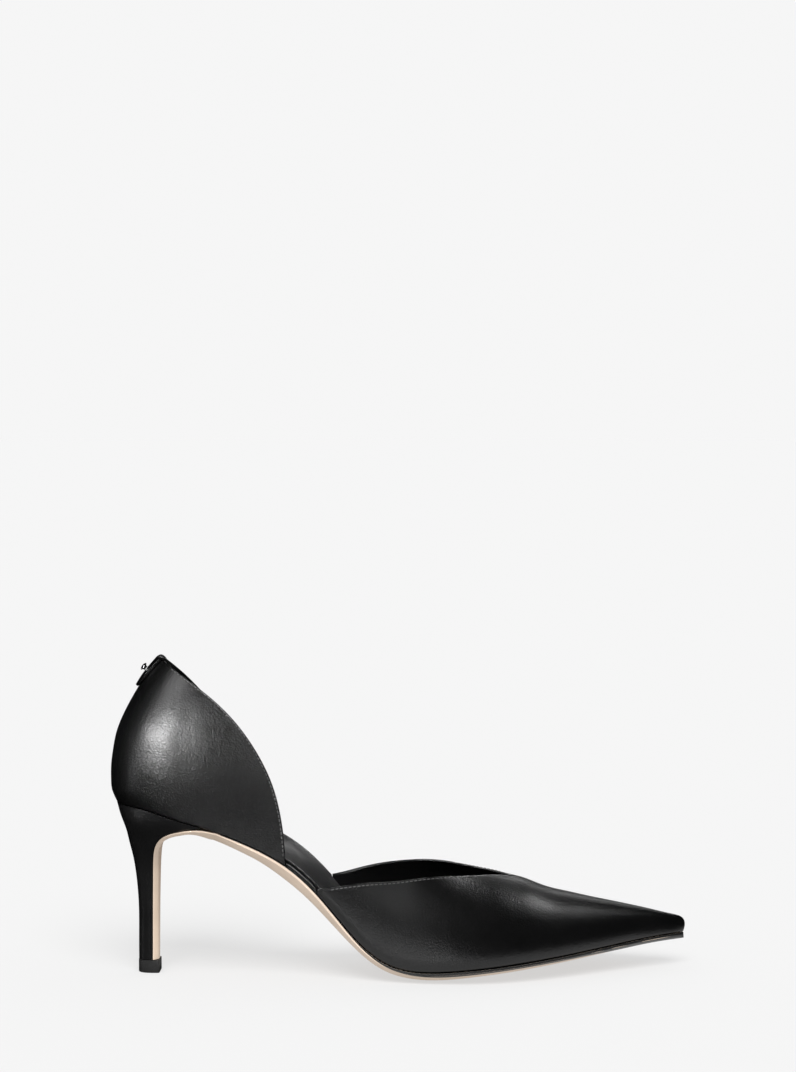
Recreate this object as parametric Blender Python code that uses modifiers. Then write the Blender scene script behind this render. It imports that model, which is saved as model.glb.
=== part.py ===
"""A right d'Orsay pump: smooth calf upper, pointed toe and a slim covered heel, standing empty.

X runs from the heel to the toe, Y to the inner side of the foot and Z up. The origin is the centre
of the top lift's underside, on the floor. Lengths are in metres.
"""

from collections import Counter, namedtuple
import math

import bmesh
import bpy
import numpy as np

LATERAL, MEDIAL = -1, 1

# Length and plan
SOLE_LENGTH = 0.2502        # back of the seat to the toe, along the sole
SEAT_REACH = 0.0140         # back of the seat behind the top lift's centre
SEAT_WIDTH = 0.0505
WAIST_WIDTH = 0.0430
BALL_WIDTH = 0.0750
SWING = 0.0075              # how far the sole's middle swings to the outer side
SEAT_ROUND = 0.0270         # length of the rounded back of the seat
TOE_ROUND = 0.0060          # length of the rounded tip

# Heights of the bed, which is the face between the sole and all that stands on it
HEEL_HEIGHT = 0.0763
BALL_HEIGHT = 0.0051        # outer edge of the bed at the ball
TOE_SPRING = 0.0100
BED_CROWN = 0.00215         # how far the bed's middle lies below its edges at the ball
ARCH_RISE = 0.0095          # how far the inner edge stands above the outer one at the arch
ARCH_SPREAD = 0.35          # share of that rise that is even across the bed; the rest is at the edge

# Sole
SOLE_EDGE = 0.0012
FLAP_EDGE = 0.0006
BEVEL_DEPTH = 0.0044        # bevel under the sole's edge, of which each section takes a share
BEVEL_WIDTH = 0.0052
FLAP_DEPTH = 0.0012
SOLE_BELLY = 0.0009         # last rounding of the underside towards its middle
FLAP_TAPER = 0.55           # how much narrower the bevel is down the heel's front
FLAP_RINGS = 20

# Heel and top lift
LIFT_HEIGHT = 0.0056
LIFT_LENGTH = 0.0095
LIFT_WIDTH = 0.0104
LIFT_CORNER = 0.0010
LIFT_ROUND = 0.62           # rounded share of its length
LIFT_LEDGE = 0.00015        # how far it stands out around the heel
HEEL_ROUND = 0.75           # rounded share of the heel's length
BREAST_REACH = 0.0220       # front lip of the heel ahead of the lift's centre
LIP_THICKNESS = 0.0008
HEEL_TWIST = 0.10           # slope of the heel's front face across the shoe

# Upper
WALL = 0.0020
EDGE_WALL = 0.0013          # wall at the quarter's folded edge
EDGE_FADE = 0.8             # share of the way to that edge at which the wall starts to thin
COUNTER_HEIGHT = 0.0618     # seat to the peak at the back
PEAK_REACH = 0.0065         # front end of the peak ahead of the lift's centre
PEAK_RISE = 0.0008          # front end of the peak above its back
PEAK_TAPER = 0.26           # how much shorter the rounded back is at the peak than at the sole
QUARTER_SETBACK = 0.0065    # how far the inner front edge stands behind the outer one, halfway up
THROAT_HEIGHT = 0.0333      # bed to the bottom of the V
ROLL = 0.0012               # how far the vamp swells out over the sole
ROLL_HEIGHT = 0.0070
NOSE_BULGE = 0.0012
NOSE_SLOPE = 0.0050         # how far the top of the nose lies behind its front
NOSE_POWER = 6              # how closely both keep to the tip

# Insole, sock, tab and stud
BOARD_THICKNESS = 0.0014
SOCK_THICKNESS = 0.0010
SOCK_MARGIN = 0.0030        # board that shows beside the sock at the cut-outs
TAB_THICKNESS = 0.0012
TAB_WIDTH = 0.0125
TAB_FOLD = 0.0045           # length of the tab inside the topline
TAB_FOOT = 0.81             # lower end of the tab, as a row of the quarter
TAB_ROUND = 0.45            # rounded share of its length
TAB_TAPER = 0.12
STUD_ROW = 0.925
STUD_RADIUS = 0.0018
STUD_HEIGHT = 0.0020

# Clearance between neighbours, and of a piece that slips in beside a wall
GAP = 0.0003
SLIP = 0.0004

X_BACK = -SEAT_REACH
X_TIP = SOLE_LENGTH - SEAT_REACH
TIP_SHARPNESS = 2.4         # how far the tip draws back for each unit that the outline is inset

# Sections of the sole: place along it, the width that it follows, and the shares on each side
Plan = namedtuple("Plan", "along width outer inner")
PLAN = (
    Plan(0.00, SEAT_WIDTH, 0.505, 0.505),
    Plan(0.08, SEAT_WIDTH, 0.505, 0.505),
    Plan(0.155, SEAT_WIDTH, 0.490, 0.485),
    Plan(0.235, WAIST_WIDTH, 0.525, 0.525),
    Plan(0.30, WAIST_WIDTH, 0.500, 0.500),
    Plan(0.375, WAIST_WIDTH, 0.500, 0.505),
    Plan(0.435, BALL_WIDTH, 0.325, 0.330),
    Plan(0.50, BALL_WIDTH, 0.382, 0.405),
    Plan(0.56, BALL_WIDTH, 0.427, 0.487),
    Plan(0.62, BALL_WIDTH, 0.450, 0.538),
    Plan(0.66, BALL_WIDTH, 0.447, 0.551),
    Plan(0.72, BALL_WIDTH, 0.405, 0.519),
    Plan(0.78, BALL_WIDTH, 0.330, 0.440),
    Plan(0.84, BALL_WIDTH, 0.243, 0.332),
    Plan(0.90, BALL_WIDTH, 0.157, 0.220),
    Plan(0.95, BALL_WIDTH, 0.092, 0.128),
    Plan(1.00, BALL_WIDTH, 0.036, 0.044),
)

# Profile of the bed: shares of the heel's height, toe spring, crown, arch rise and bevel
Profile = namedtuple("Profile", "along heel spring crown arch bevel")
PROFILE = (
    Profile(0.00, 1.000, 0.00, 0.30, 0.00, 0.50),
    Profile(0.05, 0.979, 0.00, 0.35, 0.00, 0.50),
    Profile(0.10, 0.923, 0.00, 0.38, 0.02, 0.52),
    Profile(0.15, 0.870, 0.00, 0.38, 0.12, 0.60),
    Profile(0.20, 0.803, 0.00, 0.36, 0.32, 0.58),
    Profile(0.25, 0.721, 0.00, 0.36, 0.52, 0.64),
    Profile(0.30, 0.611, 0.00, 0.38, 0.70, 0.80),
    Profile(0.34, 0.482, 0.00, 0.42, 0.86, 0.70),
    Profile(0.38, 0.318, 0.00, 0.52, 0.98, 0.50),
    Profile(0.42, 0.159, 0.00, 0.70, 0.94, 0.35),
    Profile(0.46, 0.052, 0.00, 0.88, 0.68, 0.36),
    Profile(0.50, 0.007, 0.00, 0.98, 0.36, 0.39),
    Profile(0.54, 0.000, 0.00, 1.00, 0.13, 0.44),
    Profile(0.58, 0.000, 0.06, 1.00, 0.02, 0.44),
    Profile(0.62, 0.000, 0.15, 0.98, 0.00, 0.40),
    Profile(0.70, 0.000, 0.345, 0.90, 0.00, 0.36),
    Profile(0.78, 0.000, 0.52, 0.76, 0.00, 0.30),
    Profile(0.86, 0.000, 0.715, 0.58, 0.00, 0.24),
    Profile(0.94, 0.000, 0.905, 0.36, 0.00, 0.17),
    Profile(1.00, 0.000, 1.00, 0.22, 0.00, 0.12),
)

# Heel, from the top lift to the seat: shares of the climb at its back and front, and shares of the
# way from the lift's outline to the seat's at the back, front and sides
Heel = namedtuple("Heel", "back_up front_up back front side")
HEEL = (
    Heel(0.000, 0.000, 0.00, 0.000, 0.000),
    Heel(0.130, 0.130, 0.00, 0.005, 0.005),
    Heel(0.316, 0.316, 0.00, 0.010, 0.030),
    Heel(0.487, 0.480, 0.08, 0.020, 0.090),
    Heel(0.630, 0.600, 0.23, 0.030, 0.190),
    Heel(0.730, 0.683, 0.41, 0.050, 0.330),
    Heel(0.809, 0.744, 0.55, 0.100, 0.490),
    Heel(0.873, 0.797, 0.72, 0.220, 0.680),
    Heel(0.923, 0.834, 0.86, 0.427, 0.840),
    Heel(0.964, 0.857, 0.95, 0.714, 0.950),
)

# Back of the quarter: share of the counter's height, and its lean forward in the same share
Back = namedtuple("Back", "up lean")
BACK = (
    Back(0.00, 0.000), Back(0.04, -0.019), Back(0.08, -0.034), Back(0.15, -0.041),
    Back(0.25, -0.040), Back(0.37, -0.025), Back(0.48, -0.003), Back(0.59, 0.038),
    Back(0.70, 0.093), Back(0.80, 0.150), Back(0.90, 0.214), Back(1.00, 0.297),
)

# Front edge of the quarter from its foot to the peak, with the quarter's fullness at each row
Edge = namedtuple("Edge", "row reach rise full")
EDGE = (
    Edge(0.00, 0.000, 0.000, 1.000), Edge(0.10, 0.011, 0.122, 1.020),
    Edge(0.23, 0.049, 0.280, 1.030), Edge(0.37, 0.126, 0.437, 1.015),
    Edge(0.51, 0.260, 0.593, 0.975), Edge(0.67, 0.459, 0.749, 0.890),
    Edge(0.81, 0.672, 0.863, 0.780), Edge(0.92, 0.859, 0.943, 0.670),
    Edge(1.00, 1.000, 1.000, 0.590),
)
QUARTER_FOOT = {LATERAL: 0.292, MEDIAL: 0.266}      # front corners, along the sole

# Ridge of the vamp over the bed, in shares of the throat's height; behind the throat it is the
# top of the foot, which the wall follows as far as the topline
Ridge = namedtuple("Ridge", "along up")
RIDGE = (
    Ridge(0.34, 1.30), Ridge(0.42, 1.62), Ridge(0.50, 1.67), Ridge(0.56, 1.46), Ridge(0.60, 1.28),
    Ridge(0.64, 1.14), Ridge(0.67, 1.062), Ridge(0.695, 0.993), Ridge(0.715, 0.938),
    Ridge(0.735, 0.864), Ridge(0.76, 0.776), Ridge(0.79, 0.700), Ridge(0.83, 0.600),
    Ridge(0.87, 0.505), Ridge(0.91, 0.410), Ridge(0.95, 0.318), Ridge(0.98, 0.254),
    Ridge(1.00, 0.220),
)
THROAT = 0.6922             # the V's point, along the sole
VAMP_FOOT = {LATERAL: 0.3467, MEDIAL: 0.380}        # rear corners, along the sole

# Topline of the vamp: share of the way from its rear corner to the V, and of the quarter turn from
# the sole to the ridge
Topline = namedtuple("Topline", "way outer inner")
TOPLINE = (
    Topline(0.00, 0.040, 0.040), Topline(0.06, 0.128, 0.135), Topline(0.15, 0.252, 0.270),
    Topline(0.28, 0.388, 0.418), Topline(0.42, 0.477, 0.518), Topline(0.56, 0.570, 0.620),
    Topline(0.70, 0.690, 0.738), Topline(0.83, 0.824, 0.850), Topline(0.93, 0.926, 0.937),
    Topline(1.00, 1.000, 1.000),
)


def spline(xs, ys):
    """Natural cubic spline through the points, straight beyond its ends."""
    xs, ys = np.asarray(xs, float), np.asarray(ys, float)
    n = len(xs)
    h = np.diff(xs)
    matrix = np.eye(n)
    right = np.zeros(n)
    for i in range(1, n - 1):
        matrix[i, i - 1:i + 2] = h[i - 1], 2 * (h[i - 1] + h[i]), h[i]
        right[i] = 3 * ((ys[i + 1] - ys[i]) / h[i] - (ys[i] - ys[i - 1]) / h[i - 1])
    c = np.linalg.solve(matrix, right)
    d = np.diff(c) / (3 * h)
    b = np.diff(ys) / h - h * (2 * c[:-1] + c[1:]) / 3

    def value(x):
        if x <= xs[0]:
            return float(ys[0] + b[0] * (x - xs[0]))
        if x >= xs[-1]:
            end = b[-1] + 2 * c[-2] * h[-1] + 3 * d[-1] * h[-1] ** 2
            return float(ys[-1] + end * (x - xs[-1]))
        i = int(np.searchsorted(xs, x) - 1)
        t = x - xs[i]
        return float(ys[i] + b[i] * t + c[i] * t * t + d[i] * t ** 3)

    return value


def column(table, key, name):
    return spline([getattr(row, key) for row in table], [getattr(row, name) for row in table])


def along(share):
    return X_BACK + share * SOLE_LENGTH


def share_of(x):
    return (x - X_BACK) / SOLE_LENGTH


BODY = {
    LATERAL: spline([p.along for p in PLAN], [p.width * p.outer for p in PLAN]),
    MEDIAL: spline([p.along for p in PLAN], [p.width * p.inner for p in PLAN]),
}
PROFILE_OF = {name: column(PROFILE, "along", name) for name in Profile._fields[1:]}
HEEL_ROWS = np.linspace(0, 1, len(HEEL))
HEEL_OF = {name: spline(HEEL_ROWS, [getattr(row, name) for row in HEEL]) for name in Heel._fields}
BACK_LEAN = column(BACK, "up", "lean")
EDGE_OF = {name: column(EDGE, "row", name) for name in Edge._fields[1:]}
RIDGE_UP = column(RIDGE, "along", "up")
TURN = {LATERAL: column(TOPLINE, "way", "outer"), MEDIAL: column(TOPLINE, "way", "inner")}


def rounding(distance, length, power):
    """0 at an outline's end, rising like a superellipse to 1 at length from it."""
    rest = 1 - min(max(distance / length, 0.0), 1.0)
    return (1 - rest ** power) ** (1 / power)


SEAT_POWER, TOE_POWER = 2.2, 2.0


def middle(x):
    """Y of the sole's swung centre line."""
    return -SWING * math.sin(math.pi * x / X_TIP)


def half_width(x, side, inset=0.0):
    """Half width of the sole's outline on one side, or of that outline drawn in by inset."""
    body = max(BODY[side](share_of(x)) - inset, 0.0)
    back = rounding(x - X_BACK - inset, SEAT_ROUND - inset, SEAT_POWER)
    toe = rounding(X_TIP - TIP_SHARPNESS * inset - x, TOE_ROUND, TOE_POWER)
    return body * back * toe


def edge_height(x):
    """Z of the bed's outer edge."""
    s = share_of(max(x, X_BACK))
    climb = (HEEL_HEIGHT - BALL_HEIGHT) * PROFILE_OF["heel"](s) if s < 0.54 else 0.0
    spring = TOE_SPRING * PROFILE_OF["spring"](s) if s > 0.50 else 0.0
    return BALL_HEIGHT + climb + spring


def across(x, y):
    """Place across the bed, from -1 at its outer edge to 1 at its inner one."""
    offset = y - middle(x)
    side = MEDIAL if offset > 0 else LATERAL
    body = BODY[side](share_of(max(x, X_BACK)))
    return max(-1.0, min(1.0, offset / body))


def bed_slope(x):
    step = SOLE_LENGTH / 2000
    return (edge_height(x + step) - edge_height(x - step)) / (2 * step)


def arch_share(t):
    """Share of the arch's rise, with t from 0 at the outer edge to 1 at the inner one."""
    return ARCH_SPREAD * t + (1 - ARCH_SPREAD) * t ** 6


def bed(x, y, lift=0.0):
    """Z of the bed at a place, or of a face that runs lift above it, square to it."""
    s = share_of(max(x, X_BACK))
    v = across(x, y)
    t = (v + 1) / 2
    arch = ARCH_RISE * max(PROFILE_OF["arch"](s), 0.0) * arch_share(t)
    crown = BED_CROWN * PROFILE_OF["crown"](s) * (1 - v * v)
    return edge_height(x) + arch - crown + lift * math.hypot(1, bed_slope(x))


def rim(x, side, inset=0.0, lift=0.0):
    """Point of the bed on the sole's outline, or inset from it."""
    y = middle(x) + side * half_width(x, side, inset)
    return np.array((x, y, bed(x, y, lift)))


# Sections and columns that every layer on the bed shares, so that their facets run side by side
STATIONS = [along(s) for s in (0.004, 0.012, 0.025, 0.045)]
STATIONS += [along(i / 36) for i in range(3, 35)]
STATIONS += [along(s) for s in (0.966, 0.978, 0.987, 0.993, 0.9975)]
COLUMNS = (-1, -0.75, -0.4, 0, 0.3, 0.5, 0.65, 0.78, 0.9, 1)


def stations_between(first, last):
    """Both ends and the shared sections between them."""
    room = SOLE_LENGTH / 1500
    return [first] + [x for x in STATIONS if first + room < x < last - room] + [last]


def smooth_step(t):
    t = min(max(t, 0.0), 1.0)
    return t * t * (3 - 2 * t)


# Meshes


def mesh_object(name, points, faces, material):
    """Object from points and faces, with doubled points joined and its faces turned outwards."""
    mesh = bpy.data.meshes.new(name)
    bm = bmesh.new()
    verts = [bm.verts.new(p) for p in points]
    for face in faces:
        loop = list(dict.fromkeys(face))
        if len(loop) > 2:
            bm.faces.new([verts[i] for i in loop])
    bmesh.ops.remove_doubles(bm, verts=bm.verts, dist=1e-7)
    bmesh.ops.recalc_face_normals(bm, faces=bm.faces)
    bm.to_mesh(mesh)
    bm.free()
    mesh.shade_smooth()
    mesh.set_sharp_from_angle(angle=math.radians(40))
    obj = bpy.data.objects.new(name, mesh)
    obj.data.materials.append(material)
    PARTS.objects.link(obj)
    return obj


def shell(name, outer, inner, faces, material):
    """Closed wall: two skins that share one list of faces, and a rim along their open edges."""
    count = len(outer)
    edges = Counter()
    for face in faces:
        loop = list(dict.fromkeys(face))
        edges.update(zip(loop, loop[1:] + loop[:1]))
    closed = list(faces)
    closed += [tuple(i + count for i in reversed(face)) for face in faces]
    closed += [(b, a, a + count, b + count) for a, b in edges if (b, a) not in edges]
    return mesh_object(name, list(outer) + list(inner), closed, material)


def loft(name, rings, material):
    """Closed solid through rings of equally many points, with flat ends."""
    size = len(rings[0])
    points = [p for ring in rings for p in ring]
    index = [[r * size + i % size for i in range(size + 1)] for r in range(len(rings))]
    faces = [tuple(index[0][:-1]), tuple(reversed(index[-1][:-1]))] + grid_faces(index)
    return mesh_object(name, points, faces, material)


def grid_faces(index):
    """Quads between neighbouring entries of a two-way list of point numbers."""
    return [
        (index[i][k], index[i][k + 1], index[i + 1][k + 1], index[i + 1][k])
        for i in range(len(index) - 1)
        for k in range(len(index[i]) - 1)
    ]


def paint(name, colour, roughness, metallic=0.0):
    material = bpy.data.materials.new(name)
    material.use_nodes = True
    shader = material.node_tree.nodes["Principled BSDF"]
    shader.inputs["Base Color"].default_value = (*colour, 1)
    shader.inputs["Roughness"].default_value = roughness
    shader.inputs["Metallic"].default_value = metallic
    return material


def start():
    for obj in list(bpy.data.objects):
        bpy.data.objects.remove(obj, do_unlink=True)
    group = bpy.data.collections.new("dorsay_pump")
    bpy.context.scene.collection.children.link(group)
    return group


PARTS = start()
CALF = paint("black_calf", (0.012, 0.012, 0.013), 0.38)
LINING = paint("black_lining", (0.015, 0.015, 0.016), 0.55)
SOLE_TAN = paint("tan_sole", (0.60, 0.45, 0.33), 0.50)
LIFT_BLACK = paint("lift_rubber", (0.03, 0.03, 0.03), 0.55)
STEEL = paint("polished_metal", (0.75, 0.75, 0.77), 0.15, 1.0)


# Outsole


def breast_path():
    """Front of the heel from the lip down to the lift, as X and Z."""
    bottom, top = LIFT_HEIGHT + GAP, HEEL_HEIGHT
    tip = heel_tip_front()
    rows = np.linspace(1, 0, 25)
    return [
        (
            tip + (BREAST_REACH - tip) * HEEL_OF["front"](r),
            bottom + (top - bottom) * HEEL_OF["front_up"](r),
        )
        for r in rows
    ]


def heel_tip_front():
    """X of the heel's front face at the lift, behind the flap that the lift covers."""
    return LIFT_LENGTH / 2 - LIFT_LEDGE - FLAP_EDGE - FLAP_DEPTH - SOLE_BELLY - GAP


def heel_side(row):
    """Half width of the heel's front face at a row of the heel's table."""
    low = LIFT_WIDTH / 2 - LIFT_LEDGE
    return low + (SEAT_WIDTH / 2 - low) * HEEL_OF["side"](row)


def sole_ring(x, normal, widths, edge, bevel, heights, twist=0.0, spread=1.0):
    """One section of the sole: its top from side to side, then its edge, bevel and underside.

    heights gives the top's Z at a distance from the centre line. The underside never goes below
    the floor, which leaves the flat spot at the ball.
    """
    nx, nz = normal
    belt = {v: min(0.8, BEVEL_WIDTH * spread / max(w, 1e-5)) for v, w in widths.items()}
    steps = (0, 0.25, 0.55, 1)
    under = [1 - belt[MEDIAL] * s for s in steps] + [(1 - belt[MEDIAL]) / 2, 0]
    under += [(belt[LATERAL] - 1) / 2] + [belt[LATERAL] * s - 1 for s in reversed(steps)]
    ring = []
    for v in COLUMNS:
        y = v * widths[MEDIAL if v > 0 else LATERAL]
        top = (x + twist * y - nx * GAP / 2, middle(x) + y, heights(y) - nz * GAP / 2)
        ring.append(np.array(top))
    for v in under:
        side = MEDIAL if v > 0 else LATERAL
        y = v * widths[side]
        in_bevel = min(1.0, (1 - abs(v)) / belt[side])
        depth = edge + bevel * math.sin(in_bevel * math.pi / 2) + SOLE_BELLY * (1 - v * v)
        low = (x + twist * y - nx * depth, middle(x) + y, max(heights(y) - nz * depth, 0.0))
        ring.append(np.array(low))
    return ring


def build_outsole():
    join = along(0.17)
    blunt = X_TIP - TOE_ROUND / 40
    rings = []
    for x in reversed(stations_between(join, blunt)):
        s = share_of(x)
        slope = bed_slope(x)
        length = math.hypot(1, slope)
        fade = smooth_step((x - join) / (0.06 * SOLE_LENGTH))
        rings.append(sole_ring(
            x, (-slope / length, 1 / length),
            {side: half_width(x, side) for side in (LATERAL, MEDIAL)},
            FLAP_EDGE + (SOLE_EDGE - FLAP_EDGE) * fade,
            BEVEL_DEPTH * PROFILE_OF["bevel"](s),
            lambda y, x=x: bed(x, middle(x) + y),
        ))
    rings += flap_rings(join)
    return loft("outsole", rings, SOLE_TAN)


def flap_rings(join):
    """The sole's tongue, which turns at the breast and runs down the heel's front to the lift."""
    path = [(join, edge_height(join))]
    lip = edge_height(BREAST_REACH) - LIP_THICKNESS
    path.append((BREAST_REACH, lip - GAP))
    path += breast_path()
    xs = spline(np.linspace(0, 1, len(path)), [p[0] for p in path])
    zs = spline(np.linspace(0, 1, len(path)), [p[1] for p in path])
    crown = BED_CROWN * PROFILE_OF["crown"](share_of(join))
    arch = ARCH_RISE * PROFILE_OF["arch"](share_of(join))
    start_bevel = BEVEL_DEPTH * PROFILE_OF["bevel"](share_of(join))
    rings = []
    lip_at, row_one = 1 / (len(path) - 1), 2 / (len(path) - 1)
    step = 1e-3
    for i in range(1, FLAP_RINGS + 1):
        t = i / FLAP_RINGS
        x, z = xs(t), zs(t)
        dx, dz = xs(t - step) - xs(t + step), zs(t - step) - zs(t + step)
        length = math.hypot(dx, dz)
        normal = (-dz / length, dx / length)
        row = max(0.0, min(1.0, 1 - (t - row_one) / (1 - row_one)))
        fade = smooth_step(t / row_one)
        blend = smooth_step((t - lip_at / 2) / (2 * row_one))
        widths = {
            side: (1 - blend) * half_width(x, side) + blend * heel_side(row)
            for side in (LATERAL, MEDIAL)
        }
        z -= normal[1] * GAP / 2
        rings.append(sole_ring(
            x - normal[0] * GAP / 2, normal, widths, FLAP_EDGE,
            start_bevel + (FLAP_DEPTH - start_bevel) * fade,
            lambda y, z=z, f=fade, w=widths: z + (1 - f) * flap_lift(y, w, crown, arch),
            HEEL_TWIST * (1 - row * row), 1 - FLAP_TAPER * fade,
        ))
    return rings


def flap_lift(y, widths, crown, arch):
    """Crown and arch of the bed where the flap leaves it."""
    v = y / widths[MEDIAL if y > 0 else LATERAL]
    t = (v + 1) / 2
    return arch * arch_share(t) - crown * (1 - v * v)


# Heel


def heel_outline(row, place, side):
    """Point of the heel's side at a row, with place from 0 at the back to 1 at the front."""
    low, top = LIFT_HEIGHT + GAP, HEEL_HEIGHT
    tip_back = -(LIFT_LENGTH / 2 - LIFT_LEDGE)
    back = tip_back + (X_BACK - tip_back) * HEEL_OF["back"](row)
    tip = heel_tip_front()
    front = tip + (BREAST_REACH - tip) * HEEL_OF["front"](row)
    x = back + (front - back) * place
    z_back = low + (top - low) * HEEL_OF["back_up"](row)
    z_front = low + (top - low) * HEEL_OF["front_up"](row)
    z = z_front + (z_back - z_front) * (1 - place)
    y = heel_side(row) * rounding(place, HEEL_ROUND, SEAT_POWER)
    twist = HEEL_TWIST * (1 - row ** 2)
    return np.array((x + twist * side * y, middle(x) + side * y, z))


def seat_outline(place, side):
    """Point of the heel's top edge, under the bed."""
    x = X_BACK + (BREAST_REACH - X_BACK) * place
    return rim(x, side, lift=-GAP / 2)


def build_heel():
    places = [1 - math.cos(math.pi / 2 * i / 12) for i in range(13)]
    columns = [-1, -0.7, -0.35, 0, 0.35, 0.7, 1]
    rows = list(np.linspace(0, 1, 17)) + [None]
    points, rings = [], []
    for row in rows:
        ring = []
        for side, order in ((LATERAL, reversed(places)), (MEDIAL, places[1:])):
            for place in order:
                at = seat_outline(place, side) if row is None else heel_outline(row, place, side)
                ring.append(len(points))
                points.append(at)
        first, last = points[ring[0]], points[ring[-1]]
        for v in reversed(columns[1:-1]):
            at = first + (last - first) * (v + 1) / 2
            if row is None:
                at[2] = bed(at[0], at[1], -GAP / 2)
            ring.append(len(points))
            points.append(at)
        rings.append(ring)
    faces = []
    for low, high in zip(rings, rings[1:]):
        faces += [
            (low[i], low[(i + 1) % len(low)], high[(i + 1) % len(low)], high[i])
            for i in range(len(low))
        ]
    faces.append(tuple(reversed(rings[0])))
    count = len(places)
    seat = []
    for i in range(count):
        outer, inner = rings[-1][i], rings[-1][2 * count - 2 - i]
        if i == 0:
            inside = list(reversed(rings[-1][2 * count - 1:]))
        elif i == count - 1:
            inside = [outer] * (len(columns) - 2)
        else:
            inside = []
            for v in columns[1:-1]:
                at = points[outer] + (points[inner] - points[outer]) * (v + 1) / 2
                at[2] = bed(at[0], at[1], -GAP / 2)
                inside.append(len(points))
                points.append(at)
        seat.append([outer] + inside + [inner])
    faces += grid_faces(seat)
    return mesh_object("heel", points, faces, CALF)


def build_top_lift():
    front = LIFT_LENGTH / 2
    side = LIFT_WIDTH / 2
    outline = [(front, -(side - LIFT_CORNER)), (front - LIFT_CORNER, -side)]
    round_length = LIFT_ROUND * LIFT_LENGTH
    for i in range(15):
        angle = math.pi / 2 * (i / 7 - 1)
        reach = round_length * (1 - math.cos(angle))
        half = side * rounding(reach, round_length, SEAT_POWER)
        outline.append((reach - front, math.copysign(half, angle)))
    outline += [(front - LIFT_CORNER, side), (front, side - LIFT_CORNER)]
    rings = []
    for z in (0.0, LIFT_HEIGHT):
        rings.append([(x + HEEL_TWIST * y, middle(x) + y, z) for x, y in outline])
    return loft("top_lift", rings, LIFT_BLACK)


# Insole and sock


def bed_layer(name, low, high, inset, first, last, material):
    """A layer on the bed between two heights above it, drawn in from the outline by inset."""
    notches = sorted(
        along(share[side]) + sign * GAP
        for share, sign in ((QUARTER_FOOT, 1), (VAMP_FOOT, -1))
        for side in (LATERAL, MEDIAL)
    )
    stations = stations_between(first, last)
    for x in notches:
        stations = [s for s in stations if abs(s - x) > 3 * SLIP] + [x, x + SLIP]
    rings = []
    for x in sorted(stations):
        ends = {side: half_width(x, side, inset(x, side)) for side in (LATERAL, MEDIAL)}
        row = [middle(x) + abs(v) * (ends[MEDIAL] if v > 0 else -ends[LATERAL]) for v in COLUMNS]
        ring = [(x, y, bed(x, y, high)) for y in row]
        ring += [(x, y, bed(x, y, low)) for y in reversed(row)]
        rings.append(ring)
    return loft(name, rings, material)


def in_cutout(x, side):
    """True where the side is open between the quarter and the vamp."""
    return along(QUARTER_FOOT[side]) + GAP + SLIP / 2 < x < along(VAMP_FOOT[side]) - GAP + SLIP / 2


def build_insole_board():
    inside = WALL + GAP + SLIP

    def inset(x, side):
        return 0.0 if in_cutout(x, side) else inside

    first = X_BACK + inside + GAP / 2
    last = X_TIP - TIP_SHARPNESS * inside - TOE_ROUND / 20
    return bed_layer("insole_board", GAP / 2, GAP / 2 + BOARD_THICKNESS, inset, first, last, CALF)


def build_sock():
    inside = WALL + GAP + 2 * SLIP
    low = GAP / 2 + BOARD_THICKNESS + GAP

    def inset(x, side):
        return SOCK_MARGIN if in_cutout(x, side) else inside

    first = X_BACK + inside + GAP
    last = X_TIP - TIP_SHARPNESS * SOCK_MARGIN - TOE_ROUND / 10
    return bed_layer("sock", low, low + SOCK_THICKNESS, inset, first, last, LINING)


# Quarter


def quarter_point(side, row, place):
    """Outer face of the quarter: row 0 at the sole to 1 at the peak, place 0 at the back seam."""
    round_length = SEAT_ROUND * (1 - PEAK_TAPER * row * row)
    seat_z = rim(X_BACK, side)[2]
    x_back = X_BACK + COUNTER_HEIGHT * BACK_LEAN(row)
    z_back = seat_z + COUNTER_HEIGHT * row
    foot = rim(along(QUARTER_FOOT[side]), side)
    peak_z = seat_z + COUNTER_HEIGHT + PEAK_RISE
    x_front = foot[0] + (PEAK_REACH - foot[0]) * EDGE_OF["reach"](row)
    x_front -= QUARTER_SETBACK * math.sin(math.pi * row) if side == MEDIAL else 0.0
    z_front = foot[2] + (peak_z - foot[2]) * EDGE_OF["rise"](row)
    share = 1 - math.cos(place * math.pi / 2)
    x = x_back + (x_front - x_back) * share
    climb_back = z_back - rim(max(x_back, X_BACK), side)[2]
    climb_front = z_front - rim(x_front, side)[2]
    body = BODY[side](share_of(max(x, X_BACK)))
    y = body * rounding(x - x_back, round_length, SEAT_POWER) * EDGE_OF["full"](row)
    floor = rim(max(x, X_BACK), side)[2]
    z = floor + climb_back + (climb_front - climb_back) * share
    return np.array((x, middle(x) + side * y, z))


def quarter_normal(side, row, place):
    """Outward unit normal of the quarter's face."""
    step = 1e-3
    low_row, high_row = max(row - step, 0), min(row + step, 1)
    low, high = max(place - step, 0), min(place + step, 1)
    up = quarter_point(side, high_row, place) - quarter_point(side, low_row, place)
    front = quarter_point(side, row, high) - quarter_point(side, row, low)
    if place == 0:
        front = np.array((0.0, float(side), 0.0))
    normal = np.cross(up, front) * side
    return normal / np.linalg.norm(normal)


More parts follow.
